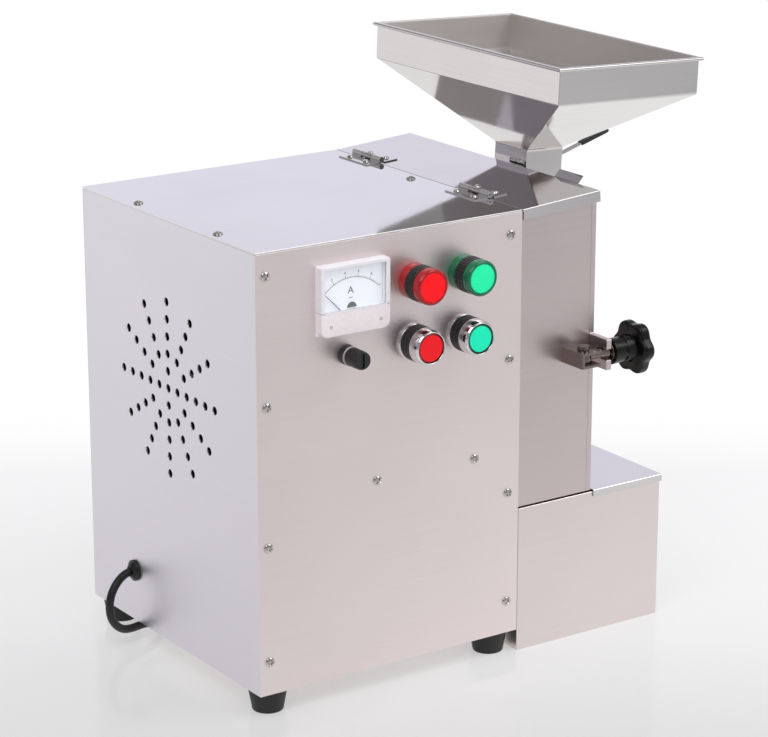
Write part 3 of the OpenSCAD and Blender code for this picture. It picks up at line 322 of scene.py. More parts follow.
# In mirrors only, the floor has painted patches: a soft grey one behind the machine, painted shade that
# darkens the polished sheets under the hopper, and two paler ones, painted highlights: at its left for the
# cabinet's front edge, and before it for the front's lower half. Each has its middle, the radii (m) at which
# it is full and gone, and its strength.
floor_patches = (((-0.161, 0.776, 0), 0.17, 0.27, 0.36), ((-0.77, -0.49, 0), 0.45, 0.75, 1.38),
                 ((0.15, -0.40, 0), 0.15, 0.6, 1.12))
shade = 1.0
for middle, full, gone, strength in floor_patches:
    reach = add(tree, "VectorMath", {0: floor_place, 1: middle}, operation="DISTANCE").outputs["Value"]
    reach = add(tree, "MapRange", {"Value": reach, "From Min": full, "From Max": gone, "To Min": strength,
                                   "To Max": 1.0}, interpolation_type="SMOOTHSTEP").outputs[0]
    shade = add(tree, "Math", {0: shade, 1: reach}, operation="MULTIPLY").outputs[0]
shade = add(tree, "MapRange", {"Value": seen["Is Glossy Ray"], "To Min": 1.0, "To Max": shade}).outputs[0]
white = add(tree, "Emission", {"Color": ramp.outputs[0], "Strength": shade}).outputs[0]
mixed = add(tree, "MixShader", {0: share, 1: floor_skin.outputs[0], 2: white}).outputs[0]
add(tree, "OutputMaterial", {"Surface": mixed})
floor_mesh.materials.append(acrylic)

surround = bpy.data.worlds.new("white_surround")
surround.use_nodes = True
scene.world = surround
tree = surround.node_tree
tree.nodes.clear()
seen = add(tree, "LightPath").outputs
plain = add(tree, "Math", {0: seen["Is Camera Ray"], 1: seen["Is Glossy Ray"]},
            operation="MAXIMUM").outputs[0]
plain = add(tree, "Math", {0: plain, 1: seen["Is Transmission Ray"]}, operation="MAXIMUM").outputs[0]
level = add(tree, "MapRange", {"Value": plain, "To Min": 0.62, "To Max": 1.0}).outputs[0]
# In mirrors the surround is a pale lavender sheet up to about 18 degrees and a grey ceiling above about 33,
# and it is darker on the camera's side of the room and on the left
way = add(tree, "SeparateXYZ", {0: add(tree, "TexCoord").outputs["Generated"]}).outputs
sheet_end, ceiling_start = 0.31, 0.54
lavender, ceiling_grey = (0.900, 0.885, 1.0, 1), (0.43, 0.415, 0.41, 1)
backdrop = add(tree, "ValToRGB", {0: way["Z"]})
backdrop.color_ramp.interpolation = "EASE"
for stop, at, colour in zip(backdrop.color_ramp.elements, (sheet_end, ceiling_start),
                            (lavender, ceiling_grey)):
    stop.position, stop.color = at, colour
near_side = add(tree, "MapRange", {"Value": way["Y"], "From Min": -0.4, "From Max": 0.2,
                                   "To Min": 0.57, "To Max": 1.0}).outputs[0]
left_side = add(tree, "MapRange", {"Value": way["X"], "From Min": -0.5, "From Max": -0.1,
                                   "To Min": 0.52, "To Max": 1.0}).outputs[0]
room_side = add(tree, "Math", {0: near_side, 1: left_side}, operation="MULTIPLY").outputs[0]
tone = add(tree, "MapRange", {"Value": seen["Is Glossy Ray"], "To Min": 1.0, "To Max": room_side}).outputs[0]
level = add(tree, "Math", {0: level, 1: tone}, operation="MULTIPLY").outputs[0]
tint = add(tree, "Mix", {0: seen["Is Glossy Ray"], 6: (1, 1, 1, 1), 7: backdrop.outputs[0]},
           data_type="RGBA").outputs[2]
glow = add(tree, "Background", {"Color": tint, "Strength": level}).outputs[0]
add(tree, "OutputWorld", {"Surface": glow})
lamp_aim = Vector((0, 0, 0.2))
softboxes = (("softbox_left", (-1.3, -0.9, 1.9), 1.3, 13), ("softbox_right", (1.06, -1.21, 1.96), 1.6, 19))
for lamp_name, lamp_at, lamp_size, watts in softboxes:
    lamp = bpy.data.lights.new(lamp_name, "AREA")
    lamp.size, lamp.energy = lamp_size, watts
    lamp_object = bpy.data.objects.new(lamp_name, lamp)
    lamp_object.location = lamp_at
    lamp_object.rotation_euler = (lamp_aim - Vector(lamp_at)).to_track_quat("-Z", "Y").to_euler()
    scene.collection.objects.link(lamp_object)


# Cabinet sheets: 1.5 mm stainless steel with a satin brushed face, cut, folded and screwed together. The top
# is mirror polished. Cut edges are lightly broken, so each catches a thin line of light.
def stainless(name, dark, light, roughness, streak, relief, sway=0.0, cloud_size=90):
    """Stainless sheet: noise stretched to the streak's size (mm along x, y, z) shades between two colours,
    changes the gloss and raises the skin by relief (mm); a slow noise of the cloud's size (mm) clouds it and
    sways it by sway (mm)."""
    material = bpy.data.materials.new(name)
    material.use_nodes = True
    tree = material.node_tree
    tree.nodes.clear()
    place = add(tree, "TexCoord").outputs["Object"]
    drawn = add(tree, "Mapping", {"Vector": place, "Scale": [1000 / s for s in streak]}).outputs[0]
    lines = add(tree, "TexNoise", {"Vector": drawn, "Scale": 1.0, "Detail": 4.0,
                                   "Roughness": 0.6}).outputs["Fac"]
    cloud = add(tree, "TexNoise", {"Vector": place, "Scale": 1000 / cloud_size, "Detail": 1.0}).outputs["Fac"]
    both = add(tree, "Math", {0: lines, 1: cloud}, operation="ADD").outputs[0]
    spread = add(tree, "MapRange", {"Value": both, "From Min": 0.65, "From Max": 1.35}).outputs[0]
    colour = add(tree, "Mix", {0: spread, 6: linear(dark), 7: linear(light)}, data_type="RGBA").outputs[2]
    gloss = add(tree, "MapRange", {"Value": both, "From Min": 0.7, "From Max": 1.3,
                                   "To Min": roughness * 0.88, "To Max": roughness * 1.12}).outputs[0]
    wave = add(tree, "Bump", {"Height": cloud, "Strength": 1.0, "Distance": sway / 1000}).outputs[0]
    bump = add(tree, "Bump", {"Height": lines, "Strength": 0.4, "Distance": relief / 1000,
                              "Normal": wave}).outputs[0]
    surface = add(tree, "BsdfPrincipled", {"Base Color": colour, "Metallic": 1.0, "Roughness": gloss,
                                           "Normal": bump})
    add(tree, "OutputMaterial", {"Surface": surface.outputs[0]})
    return material


def dress(material, edge, *names):
    """Gives CAD nodes a material and, where edge is above 0, broken edges that many mm wide: Weld joins the
    node's triangles, Decimate makes flat faces whole and Bevel cuts a chamfer along the edges."""
    for name in names:
        for held in nodes[name].material_slots:
            held.material = material
        if edge:
            nodes[name].modifiers.new("joined", "WELD").merge_threshold = 1e-6
            flat = nodes[name].modifiers.new("flat", "DECIMATE")
            flat.decimate_type, flat.angle_limit = "DISSOLVE", math.radians(0.5)
            broken = nodes[name].modifiers.new("broken", "BEVEL")
            broken.width, broken.segments, broken.limit_method = edge / 1000, 1, "ANGLE"
            broken.angle_limit, broken.use_clamp_overlap = math.radians(40), True


# Brushed 304 sheet: brush lines are a tenth of a millimetre wide, drawn 0.9 mm wide here so that they show
# These two copies of one steel have tints that are painted light: pinker for the front, lavender for the left
# end, as the light falls on each face.
front_steel = stainless("satin_stainless_front", "#f0e4e3", "#f7ecea", 0.42, (140, 3, 0.9), 0.002)
side_steel = stainless("satin_stainless_side", "#e8e4ea", "#f0ecf2", 0.42, (3, 140, 0.9), 0.002)
# Mirror-polished 304: takes the surround's lavender, with a slow ripple of the sheet in its reflections
top_steel = stainless("polished_stainless_top", "#d9d7d8", "#dfddde", 0.06, (160, 3, 3), 0.0003, 0.03)
dress(front_steel, 0.7, "front_panel", "back_panel", "bulkhead")
dress(side_steel, 0.7, "left_end_panel")
dress(front_steel, 0, "base_plate", "control_bracket")
dress(top_steel, 0.7, "top_cover")


# Panel and top screws: M4 pan heads with a cross recess, nickel plated, screwed through the sheets into the
# flanges. All of one kind are one piece.
def cross_head(centre, axis, turn):
    """A pan-head screw: rows of rings from the head's middle out, over the rim and down the shank. The dome
    falls with the power 2.6 of the radius, and a cross 1.3 mm wide, 4.8 mm long is sunk 1.2 mm into it."""
    out, side, top = np.array(axes[axis], float)
    head_r, shank_r, shank_end, arm_l, arm_w = 4.0, 1.9, -8, 2.4, 0.65
    angle = np.linspace(0, 2 * np.pi, 64, endpoint=False)[None]
    dome = np.linspace(0, 3.8, 19)
    radius = np.concatenate([dome, [head_r, head_r, shank_r, shank_r, 0]])[:, None]
    along = np.concatenate([2.2 - 1.5 * (dome / head_r) ** 2.6, [0.55, 0, 0, shank_end, shank_end]])[:, None]
    u, v = np.abs(radius * np.cos(angle - turn)), np.abs(radius * np.sin(angle - turn))
    arm = np.minimum(np.maximum(u / arm_l, v / arm_w), np.maximum(v / arm_l, u / arm_w))
    sunk = 1.2 * np.clip((1.15 - arm) / 0.3, 0, 1) * (along > 0.6)
    points = (np.array(centre) + (along - sunk)[..., None] * out + (radius * np.cos(angle))[..., None] * side
              + (radius * np.sin(angle))[..., None] * top)
    return shell(points)


# Bright nickel plate over steel: near mirror, a little warm
nickel = moulded("bright_nickel_plate", "#bab7b4", "#d3d0cd", 0.12, 1.2, 0.01, Metallic=1.0)
panel_spots = [(x, z) for z in (47, 142, 256, 360) for x in (9, 240)] + [(111, 178), (206, 178)]
top_spots, cabinet_top = ((9, 68.5), (9, 192), (240, 140)), 379
make_piece("panel_screw_set", [cross_head((x, 0, z), "-y", 0.7 * k) for k, (x, z) in enumerate(panel_spots)],
           [nickel], "machine", "bright_screws", "panel_screws")
make_piece("top_screw_set", [cross_head((x, y, cabinet_top), "+z", 0.9 * k)
                             for k, (x, y) in enumerate(top_spots)],
           [nickel], "machine", "bright_screws", "top_screws")

# Feet: tapered black rubber under the cabinet's corners, each moulded with a sunk seat for the one screw that
# holds it from below.
# Moulded rubber: matt, a little grey with dust
rubber = moulded("black_rubber", "#100f10", "#1d1b1d", 0.5, 1.2, 0.06)
foot_profile = eased([[0, 5], [0, 12.5], [9.5, 14.25], [19, 16], [19, 2.5], [7, 2.5], [7, 5], [0, 5]], 1.2)
foot_spots = [(x, y, 0) for x in (17, 234) for y in (17, 253)]
make_piece("foot_set", [turned(foot_profile[:-1], spot, "+z", closed=True) for spot in foot_spots],
           [rubber], "machine", "black_rubber", "rubber_feet")
dress(nickel, 0, "foot_screws")

# Ammeter: a moving-needle panel meter. A milky acrylic frame and a clear pane cover a white enamelled dial
# plate, and a milky apron with two small screws covers the movement.
# Cast acrylic, milky: white with a soft gloss
milky = moulded("milky_acrylic", "#f1eef4", "#fbf9ff", 0.22, 2.5, 0.01)
# The apron's acrylic is a little warmer, with a faint painted glow: an emission in place of light scattered
# in it
apron_white = moulded("milky_acrylic_apron_painted_glow", "#f3e9ee", "#fdf5f8", 0.22, 2.5, 0.01,
                      **{"Emission Color": linear("#fff4f6"), "Emission Strength": 0.02})
# Baked enamel: a cool flat white, with a painted glow: its emission lifts the dial out of the shade it lies
# in behind the pane
enamel = moulded("white_dial_enamel_painted_glow", "#f0f5ff", "#f8fbff", 0.35, 2.0, 0.005,
                 **{"Emission Color": linear("#eef4ff"), "Emission Strength": 0.21})
# Printing ink: black and dull
ink = moulded("black_dial_ink", "#15161a", "#2a2c33", 0.5, 0.8, 0.003)
# Clear acrylic: almost unseen, apart from its gloss
clear = moulded("clear_acrylic", "#f6f9ff", "#ffffff", 0.04, 4.0, 0.001, Alpha=0.1)
meter_x, pivot_z, dial_front = 85.5, 313.0, 2.6
meter_back, meter_front, cover_z, apron_z = 2.1, 9, 343, 315.0
dress(milky, 0.4, "meter_case")
dress(enamel, 0, "meter_dial")


def ring_of(outer, inner, centre, axis, depth, edge):
    """A frame between two outlines of as many points: its section runs up the outside, over a rounded edge,
    across the front, down the opening and back along the rear."""
    out, side, top = np.array(axes[axis], float)
    rear, front = depth
    rows = [(outer, rear, 0), (outer, front - edge, 0), (outer, front - 0.3 * edge, 0.3 * edge),
            (outer, front, edge), (inner, front, -edge), (inner, front - 0.3 * edge, -0.3 * edge),
            (inner, front - edge, 0), (inner, rear, 0)]
    points = []
    for line, along, shrink in rows:
        middle = (line.min(0) + line.max(0)) / 2
        half = (line.max(0) - line.min(0)) / 2
        line = middle + (line - middle) * (half - shrink) / half
        points.append(np.array(centre) + along * out + line[:, :1] * side + line[:, 1:] * top)
    return shell(np.stack(points), closed_rows=True)


pane_w, pane_h, pane_drop = 57, 33.5, 1.6
frame_outer, frame_inner = rounded_box(64, 37, 1.6), rounded_box(pane_w, pane_h, 1.0) + [0, -pane_drop]
pane = [(6.2, *end_point), (6.2, pane_w, pane_h, 1.0), (7.4, pane_w, pane_h, 1.0), (7.4, *end_point)]
make_piece("meter_cover", [ring_of(frame_outer, frame_inner, (meter_x, 0, cover_z), "-y",
                                   (meter_back, meter_front), 0.8),
                           stacked(pane, (meter_x, 0, cover_z - pane_drop), "-y", finish=1)], [milky, clear],
           "machine", "clear_cover", "meter_window")
apron_w, apron_h, apron_r = 32, 9.5, 6


def apron_box(grow):
    """Outline of the apron: square above, with round lower corners, grown by grow mm all round."""
    w, h, turn = apron_w + grow, apron_h + grow, np.linspace(0, np.pi / 2, 7)
    left, right = [np.array([s * (w - apron_r), apron_r - h])
                   + apron_r * np.column_stack([s * np.cos(turn), -np.sin(turn)]) for s in (-1, 1)]
    return np.vstack([[[w, h]], [[-w, h]], left, right[::-1]])


apron_middle = 0.001 * apron_box(0)
apron_rows = [(meter_back, apron_middle), (meter_back, apron_box(0)), (8.1, apron_box(0)),
              (8.7, apron_box(-0.3)), (meter_front, apron_box(-0.9)), (meter_front, apron_middle)]
apron_points = np.stack([np.array([meter_x, -along, apron_z])
                         + np.column_stack([line[:, 0], 0 * line[:, 0], line[:, 1]])
                         for along, line in apron_rows])
apron_screw = eased([[8.4, 0], [8.4, 1.5], [9.0, 1.5], [9.0, 0.6], [8.7, 0]], 0.25)
make_piece("meter_apron_cover", [shell(apron_points)], [apron_white], "machine", "white_plastic",
           "meter_apron")
make_piece("meter_apron_screws", [turned(apron_screw, (meter_x + side * 23, 0, 313.5), "-y", 20)
                                  for side in (-1, 1)], [nickel], "machine", "bright_screws")


def scale_mark(low, high, start, end, steps=2, centre=pivot_z):
    """A flat print on the dial: a band between two radii (mm) and two angles (degrees right of upright) about
    a height, 0.06 mm thick."""
    angle = np.radians(np.linspace(start, end, steps))
    section = [(low, 0), (low, 0.06), (high, 0.06), (high, 0)]
    points = np.stack([np.column_stack([meter_x + r * np.sin(angle), np.full(steps, -dial_front - up),
                                        centre + r * np.cos(angle)]) for r, up in section])
    vertices, faces, finish = shell(points, closed_rows=True, closed_columns=False)
    rows = np.arange(4) * steps
    return vertices, np.vstack([faces, rows, rows[::-1] + steps - 1]), finish


def dial_word(word, size, x, z):
    """Letters on the dial: the built-in font's outline is filled, thickened, made a mesh and set upright."""
    letters = bpy.data.curves.new("letters", "FONT")
    letters.body, letters.size, letters.extrude = word, size, 0.03
    letters.align_x, letters.align_y = "CENTER", "CENTER"
    holder = bpy.data.objects.new("letters", letters)
    mesh = bpy.data.meshes.new_from_object(holder)
    mesh.calc_loop_triangles()
    flat, triangles = np.zeros(len(mesh.vertices) * 3), np.zeros(len(mesh.loop_triangles) * 3, int)
    mesh.vertices.foreach_get("co", flat)
    mesh.loop_triangles.foreach_get("vertices", triangles)
    flat = flat.reshape(-1, 3)
    bpy.data.objects.remove(holder)
    bpy.data.meshes.remove(mesh)
    upright = np.column_stack([x + flat[:, 0], -dial_front - 0.03 - flat[:, 2], z + flat[:, 1]])
    return upright, triangles.reshape(-1, 3), 0


half_sweep, figure_r = 45, 40.2
marks = [scale_mark(35.6, 36.0, -half_sweep, half_sweep, 46), scale_mark(0.1, 4.4, -90, 90, 24, 324.9)]
marks += [scale_mark(35.8, 38.0, a - 0.35, a + 0.35) for a in np.linspace(-half_sweep, half_sweep, 6)]
marks += [scale_mark(35.8, 37.0, a - 0.2, a + 0.2) for a in np.linspace(-half_sweep, half_sweep, 31)]
marks += [dial_word(str(2 * k), 3.4, meter_x + figure_r * math.sin(math.radians(18 * k - half_sweep)),
                    pivot_z + figure_r * math.cos(math.radians(18 * k - half_sweep))) for k in range(1, 5)]
marks += [dial_word("A", 8.5, meter_x - 1, 338.5), dial_word("~", 6, meter_x - 1, 333)]
make_piece("meter_scale", marks, [ink], "machine", "needle_black")
needle_tip = np.array([-math.sin(math.pi / 4), 0, math.cos(math.pi / 4)])
needle_side = np.array([needle_tip[2], 0, -needle_tip[0]])
needle_rows = np.array([[0, 0.4], [24, 0.3], [34, 0.18], [36, 0.05]])
needle_points = np.stack([np.array([meter_x, -along, pivot_z]) + needle_rows[:, :1] * needle_tip
                          + sign * needle_rows[:, 1:] * needle_side
                          for sign, along in ((-1, 3.8), (-1, 4.4), (1, 4.4), (1, 3.8))])
needle_hub = eased([[-1, 0], [-1, 1], [3.0, 1], [3.0, 4.5], [4.6, 4.2], [5.2, 3.0], [5.2, 0]], 0.5)
make_piece("meter_pointer", [shell(needle_points, closed_rows=True, closed_columns=False),
                             turned(needle_hub, (meter_x, 0, pivot_z), "-y", 40)],
           [ink], "pointer", "needle_black", "meter_needle")


# Indicator lamps: a coloured base ring, a grooved and ribbed black ABS collar and a coloured lens with a flat
# face, all moulded. A threaded barrel goes through the panel to its nut.
# Moulded ABS: black, satin
abs_black = moulded("black_abs", "#111011", "#201e20", 0.34, 1.0, 0.03)
# Dyed polycarbonate: deep colour at the sides and rim, where it is thick, and brighter on the thin flat face,
# which also has a painted glow: an emission of its own that brightens its colour
red_deep = moulded("red_polycarbonate", "#a80c16", "#c4141f", 0.16, 2.0, 0.01)
red_face = moulded("red_polycarbonate_face_painted_glow", "#f00a14", "#fb111b", 0.3, 2.0, 0.01,
                   **{"Specular IOR Level": 0.25, "Emission Color": linear("#ff1420"),
                      "Emission Strength": 0.33})
green_deep = moulded("green_polycarbonate", "#04603f", "#097d55", 0.16, 2.0, 0.01)
green_face = moulded("green_polycarbonate_face_painted_glow", "#18dc98", "#2ceaa8", 0.3, 2.0, 0.01,
                     **{"Specular IOR Level": 0.25, "Emission Color": linear("#20e8a0"),
                        "Emission Strength": 0.31})
red_at, green_at, lamp_z, button_z = 145.5, 193.0, 336.5, 287.0


def ribbed(count, share):
    """Ribs round a turned form: the radius dips by the share towards each gap, over a narrow part of the
    rib."""
    return lambda angle, along, radius: radius * (1 - share * np.clip(np.cos(count * angle) * 2 - 1, 0, 1))


base_ring = eased([[0.05, 11.2], [0.05, 14.5], [7.8, 14.5], [7.8, 11.2], [0.05, 11.2]], 0.8)[:-1]
lens_side = eased([[19.1, 0], [19.1, 14.5], [25.6, 14.5], [27, 13.2], [27, 11.9], [26.3, 11.6]], 0.5)
lens_face = eased([[26.3, 11.6], [26.55, 11.2], [26.75, 6], [26.8, 0]], 0.3)
lamp_collar = eased([[8, 0], [8, 14.7], [11.0, 14.7], [11.4, 14.0], [12.0, 14.0], [12.4, 14.7], [14.6, 14.7],
                     [15.0, 14.0], [15.6, 14.0], [16.0, 14.7], [19, 14.7], [19, 0]], 0.4)
lamp_barrel = eased([[8, 0], [8, 11], [-28, 11], [-28, 0]], 0.6)
collar_ribs = ribbed(36, 0.025)
for tint, x, deep, face in (("red", red_at, red_deep, red_face), ("green", green_at, green_deep, green_face)):
    spot = (x, 0, lamp_z)
    make_piece(tint + "_lamp_lens", [turned(base_ring, spot, "-y", 64, closed=True),
                                     turned(lens_side, spot, "-y", 64),
                                     turned(lens_face, spot, "-y", 64, finish=1)],
               [deep, face], "machine", tint + "_plastic", tint + "_lens")
make_piece("lamp_collars", [turned(profile, (x, 0, lamp_z), "-y", 144, wave=ribs) for x in (red_at, green_at)
                            for profile, ribs in ((lamp_collar, collar_ribs), (lamp_barrel, None))],
           [abs_black], "machine", "black_plastic", "lamp_bodies")

# Push buttons: a chromed washer at the panel, a grooved and ribbed black collar, a chromed bezel, and a
# coloured cap that presses in on its stem.
washer = eased([[0.05, 11.2], [0.05, 14.75], [2.0, 14.75], [2.4, 14.2], [2.4, 11.2], [0.05, 11.2]], 0.5)[:-1]
collar = eased([[2.4, 6.0], [2.4, 14.2], [3.0, 14.7], [5.6, 14.7], [6.0, 13.9], [6.6, 13.9], [7.0, 14.7],
                [9.4, 14.7], [9.8, 13.9], [10.4, 13.9], [10.8, 14.7], [13.2, 14.7], [13.8, 14.1],
                [13.8, 6.0], [2.4, 6.0]], 0.35)[:-1]
barrel = eased([[0, 5.95], [0, 11], [-28, 11], [-28, 5.95], [0, 5.95]], 0.6)[:-1]
bezel = eased([[14, 12.05], [14, 14.6], [16, 14.75], [20.5, 14.75], [23.6, 14.1], [25, 13.0], [24.9, 12.4],
               [24.3, 12.05], [14, 12.05]], 0.9)[:-1]
cap_side = eased([[-30, 0], [-30, 5.9], [19.4, 5.9], [19.4, 11.75], [23.4, 11.75], [24.2, 11.1],
                  [24.4, 10.4]], 0.4)
cap_face = eased([[24.4, 10.4], [24.15, 9.9], [24.2, 5], [24.2, 0]], 0.3)
# Chrome plate: a cool bright mirror
chrome = moulded("chrome_plate", "#d4d3d6", "#e6e5e8", 0.09, 1.5, 0.003, Metallic=1.0)
# Dyed acetal: full even colour with a dull gloss, and a painted glow: an emission in place of light scattered
# in it
cap_red = moulded("red_button_acetal_painted_glow", "#e6101c", "#f21a27", 0.3, 2.0, 0.01,
                  **{"Specular IOR Level": 0.25, "Emission Color": linear("#f01822"),
                     "Emission Strength": 0.19})
cap_green = moulded("green_button_acetal_painted_glow", "#12d8ac", "#20e4b8", 0.3, 2.0, 0.01,
                    **{"Specular IOR Level": 0.25, "Emission Color": linear("#10e0b0"),
                       "Emission Strength": 0.31})
collar_shells = []
for x in (red_at, green_at):
    spot = (x, 0, button_z)
    collar_shells += [turned(washer, spot, "-y", 64, closed=True, finish=1),
                      turned(collar, spot, "-y", 144, collar_ribs, True),
                      turned(barrel, spot, "-y", 48, closed=True)]
make_piece("button_collars", collar_shells, [abs_black, chrome], "machine", "black_plastic", "button_bodies")
make_piece("button_bezel_rings", [turned(bezel, (x, 0, button_z), "-y", 72, closed=True)
                                  for x in (red_at, green_at)],
           [chrome], "machine", "chrome_bezel", "button_bezels")
for press, x, deep, face, tint in (("stop", red_at, red_deep, cap_red, "red"),
                                   ("start", green_at, green_deep, cap_green, "green")):
    spot = (x, 0, button_z)
    make_piece(press + "_button_cap", [turned(cap_side, spot, "-y", 64),
                                       turned(cap_face, spot, "-y", 64, finish=1)],
               [deep, face], press + "_button", tint + "_plastic", press + "_cap")
dress(abs_black, 0.4, "contact_blocks", "panel_nuts")

# Fuse holder: a ribbed black ABS body with a pale nylon ring, through a hole in the panel, and a bayonet cap
# with a coin slot that turns in it.
# Moulded nylon: pale grey, dull
nylon = moulded("grey_nylon", "#a9a7a6", "#bdbbb9", 0.4, 1.5, 0.02)
fuse_x = 82
fuse_at = (fuse_x, 0, button_z)
fuse_body = eased([[-30, 4.05], [-30, 6], [0, 6], [0, 8], [6.6, 8], [6.6, 4.05], [-30, 4.05]], 0.5)[:-1]
fuse_ring = eased([[6.6, 4.05], [6.6, 8.0], [8, 8.0], [8, 4.05], [6.6, 4.05]], 0.4)[:-1]
make_piece("fuse_body", [turned(fuse_body, fuse_at, "-y", 96, ribbed(24, 0.03), True),
                         turned(fuse_ring, fuse_at, "-y", 64, closed=True, finish=1)], [abs_black, nylon],
           "machine", "black_plastic", "fuse_holder")


def cap_ribs(angle, along, radius):
    """Ribs on the fuse cap's side, as ribbed, where the radius is over 6.7 mm: its stem and face stay
    round."""
    return np.where(radius > 6.7, ribbed(24, 0.035)(angle, along, radius), radius + 0 * angle)


cap_end, cap_edge, cap_crown = 24, 6.6, 0.004
fuse_angle = np.linspace(0, 2 * np.pi, 96, endpoint=False)[None]
face_radius = np.linspace(cap_edge, 0, 18)[:, None]
from_slot = np.abs(face_radius * np.cos(fuse_angle))
slot_depth = 1.5 * np.clip((0.95 - from_slot) / 0.25, 0, 1) * (face_radius < 5.6)
fuse_face = np.stack([fuse_x + face_radius * np.cos(fuse_angle),
                      -(cap_end - cap_crown * face_radius ** 2 - slot_depth),
                      button_z + face_radius * np.sin(fuse_angle)], -1)
fuse_side = eased([[-20, 0], [-20, 4], [8.3, 4], [8.3, 7.5], [20, 7.5], [23.0, 7.2],
                   [cap_end - cap_crown * cap_edge ** 2, cap_edge]], 0.7)
make_piece("fuse_cap_knob", [turned(fuse_side, fuse_at, "-y", 96, cap_ribs), shell(fuse_face)],
           [abs_black], "fuse_carrier", "black_plastic", "fuse_cap")

# Column and its end door: folded satin sheet on the cabinet's right, and a 5 mm door plate on hinges, with
# the feed chute welded to the door.
# Brushed 304 sheet as on the front: a little darker, with a closer sheen
column_steel = stainless("satin_stainless_column", "#d1c4c3", "#d9cdcc", 0.34, (140, 3, 0.9), 0.002)
dress(column_steel, 0.4, "column_shell", "chamber_door", "feed_chute")
dress(nickel, 0.4, "door_hinges")

# Lid: folded polished sheet over the column with a lifting tab. It hangs on two steel butt hinges, whose
# leaves are riveted to it and to the top.
# Mirror-polished 304: as the top, a little darker
lid_steel = stainless("polished_stainless_lid", "#d3d0d1", "#d9d6d7", 0.07, (160, 3, 3), 0.0003, 0.03)
# Pressed and polished hinge strip: bright, with fine lines across it
hinge_steel = stainless("polished_stainless_hinge", "#cfcdcb", "#dcdad8", 0.10, (3, 30, 3), 0.001)
dress(lid_steel, 0.5, "lid")
dress(hinge_steel, 0.25, "hinge_body_leaves", "hinge_lid_leaves")
dress(nickel, 0, "hinge_pins")

# Hopper: polished 1.2 mm sheet, folded and welded at the corners: a square neck with a slot for the gate,
# four slopes, and a tray whose rim is rolled outwards into a 3 mm bead.
# Polished 304: a soft mirror with faint level lines
hopper_steel = stainless("polished_stainless_hopper", "#d1cecd", "#d9d6d5", 0.09, (150, 150, 2), 0.0004)
# The inside keeps the mill's dull satin face, ground down by the feed
hopper_satin = stainless("satin_stainless_hopper_inside", "#d4d0cd", "#dedad7", 0.64, (150, 150, 2), 0.001)
neck_x, axis_y, seat_z, hopper_lean = 358.25, 135.0, 362.0, 2.4
neck_w, neck_d, neck_l, slope_h, hopper_h, bead, sheet = 38.5, 45.0, 33.0, 59.0, 123.0, 3.0, 1.2
wall_w, wall_d = 151 - 2 * bead, 265 - 2 * bead
flange, spigot, fold_r = 8, 14, 2.2


def hopper_row(width, depth, z, lean):
    """One ring of the hopper: a box with 0.8 mm corners (three points each) and two more points on the right
    and left sides at the gate slots' ends, leaned about the seat: x turns towards z by the lean angle."""
    r, w, d = 0.8, width / 2, depth / 2
    arc = r * (1 - math.sqrt(0.5))
    right, left = np.array([0.036, 0.964]) * depth - d, np.array([0.513, 0.064]) * depth - d
    x = np.array([w - r, w - arc, w, w, w, w, w - arc, w - r, r - w, arc - w, -w, -w, -w, -w, arc - w, r - w])
    y = np.array([-d, arc - d, r - d, *right, d - r, d - arc, d, d, d - arc, d - r, *left, r - d, arc - d,
                  -d])
    a = math.radians(lean)
    return np.column_stack([neck_x + x * math.cos(a) + z * math.sin(a), axis_y + y,
                            seat_z - x * math.sin(a) + z * math.cos(a)])


slot_z = [19.15, 20.9, 23.33, 23.67]
slot_rows = [[neck_w, neck_d, z, hopper_lean * (z - sheet) / (neck_l - sheet)] for z in slot_z]
roll = np.radians(np.linspace(-150, 100, 11))
roll_rows = [[wall_w + bead + bead * math.cos(a), wall_d + bead + bead * math.cos(a),
              hopper_h - bead / 2 + bead / 2 * math.sin(a), hopper_lean] for a in roll]
foot_rows = [[neck_w, neck_d, -spigot, 0], [neck_w, neck_d, 0, 0], [neck_w + flange, neck_d + flange, 0, 0],
             [neck_w + flange, neck_d + flange, sheet, 0], [neck_w, neck_d, sheet, 0]]
outside = np.vstack([
    foot_rows, slot_rows,
    eased([slot_rows[-1], [neck_w, neck_d, neck_l, hopper_lean],
           [wall_w, wall_d, neck_l + slope_h, hopper_lean],
           [wall_w, wall_d, hopper_h - 2.6, hopper_lean]], fold_r)[1:], roll_rows])
inner_w, inner_d = wall_w - 2 * sheet, wall_d - 2 * sheet
bore_w, bore_d = neck_w - 2 * sheet, neck_d - 2 * sheet
bore_slots = np.array(slot_rows[::-1]) - [2 * sheet, 2 * sheet, 0, 0]
bore_foot = [[bore_w, bore_d, sheet, 0], [bore_w, bore_d, -spigot, 0]]
inside = np.vstack([
    eased([[inner_w + 1.6, inner_d + 1.6, hopper_h, hopper_lean],
           [inner_w, inner_d, hopper_h - 0.8, hopper_lean],
           [inner_w, inner_d, neck_l + slope_h, hopper_lean], [bore_w, bore_d, neck_l, hopper_lean],
           bore_slots[0]], fold_r)[:-1], bore_slots, bore_foot])
hopper_points = np.stack([hopper_row(*row) for row in np.vstack([outside, inside])])
hopper_vertices, hopper_faces, _ = shell(hopper_points, closed_rows=True)
columns, first_out = hopper_points.shape[1], len(foot_rows)
last_in = len(outside) + len(inside) - len(bore_foot) - 1
inner_face = np.arange(len(hopper_faces)) >= len(outside) * columns
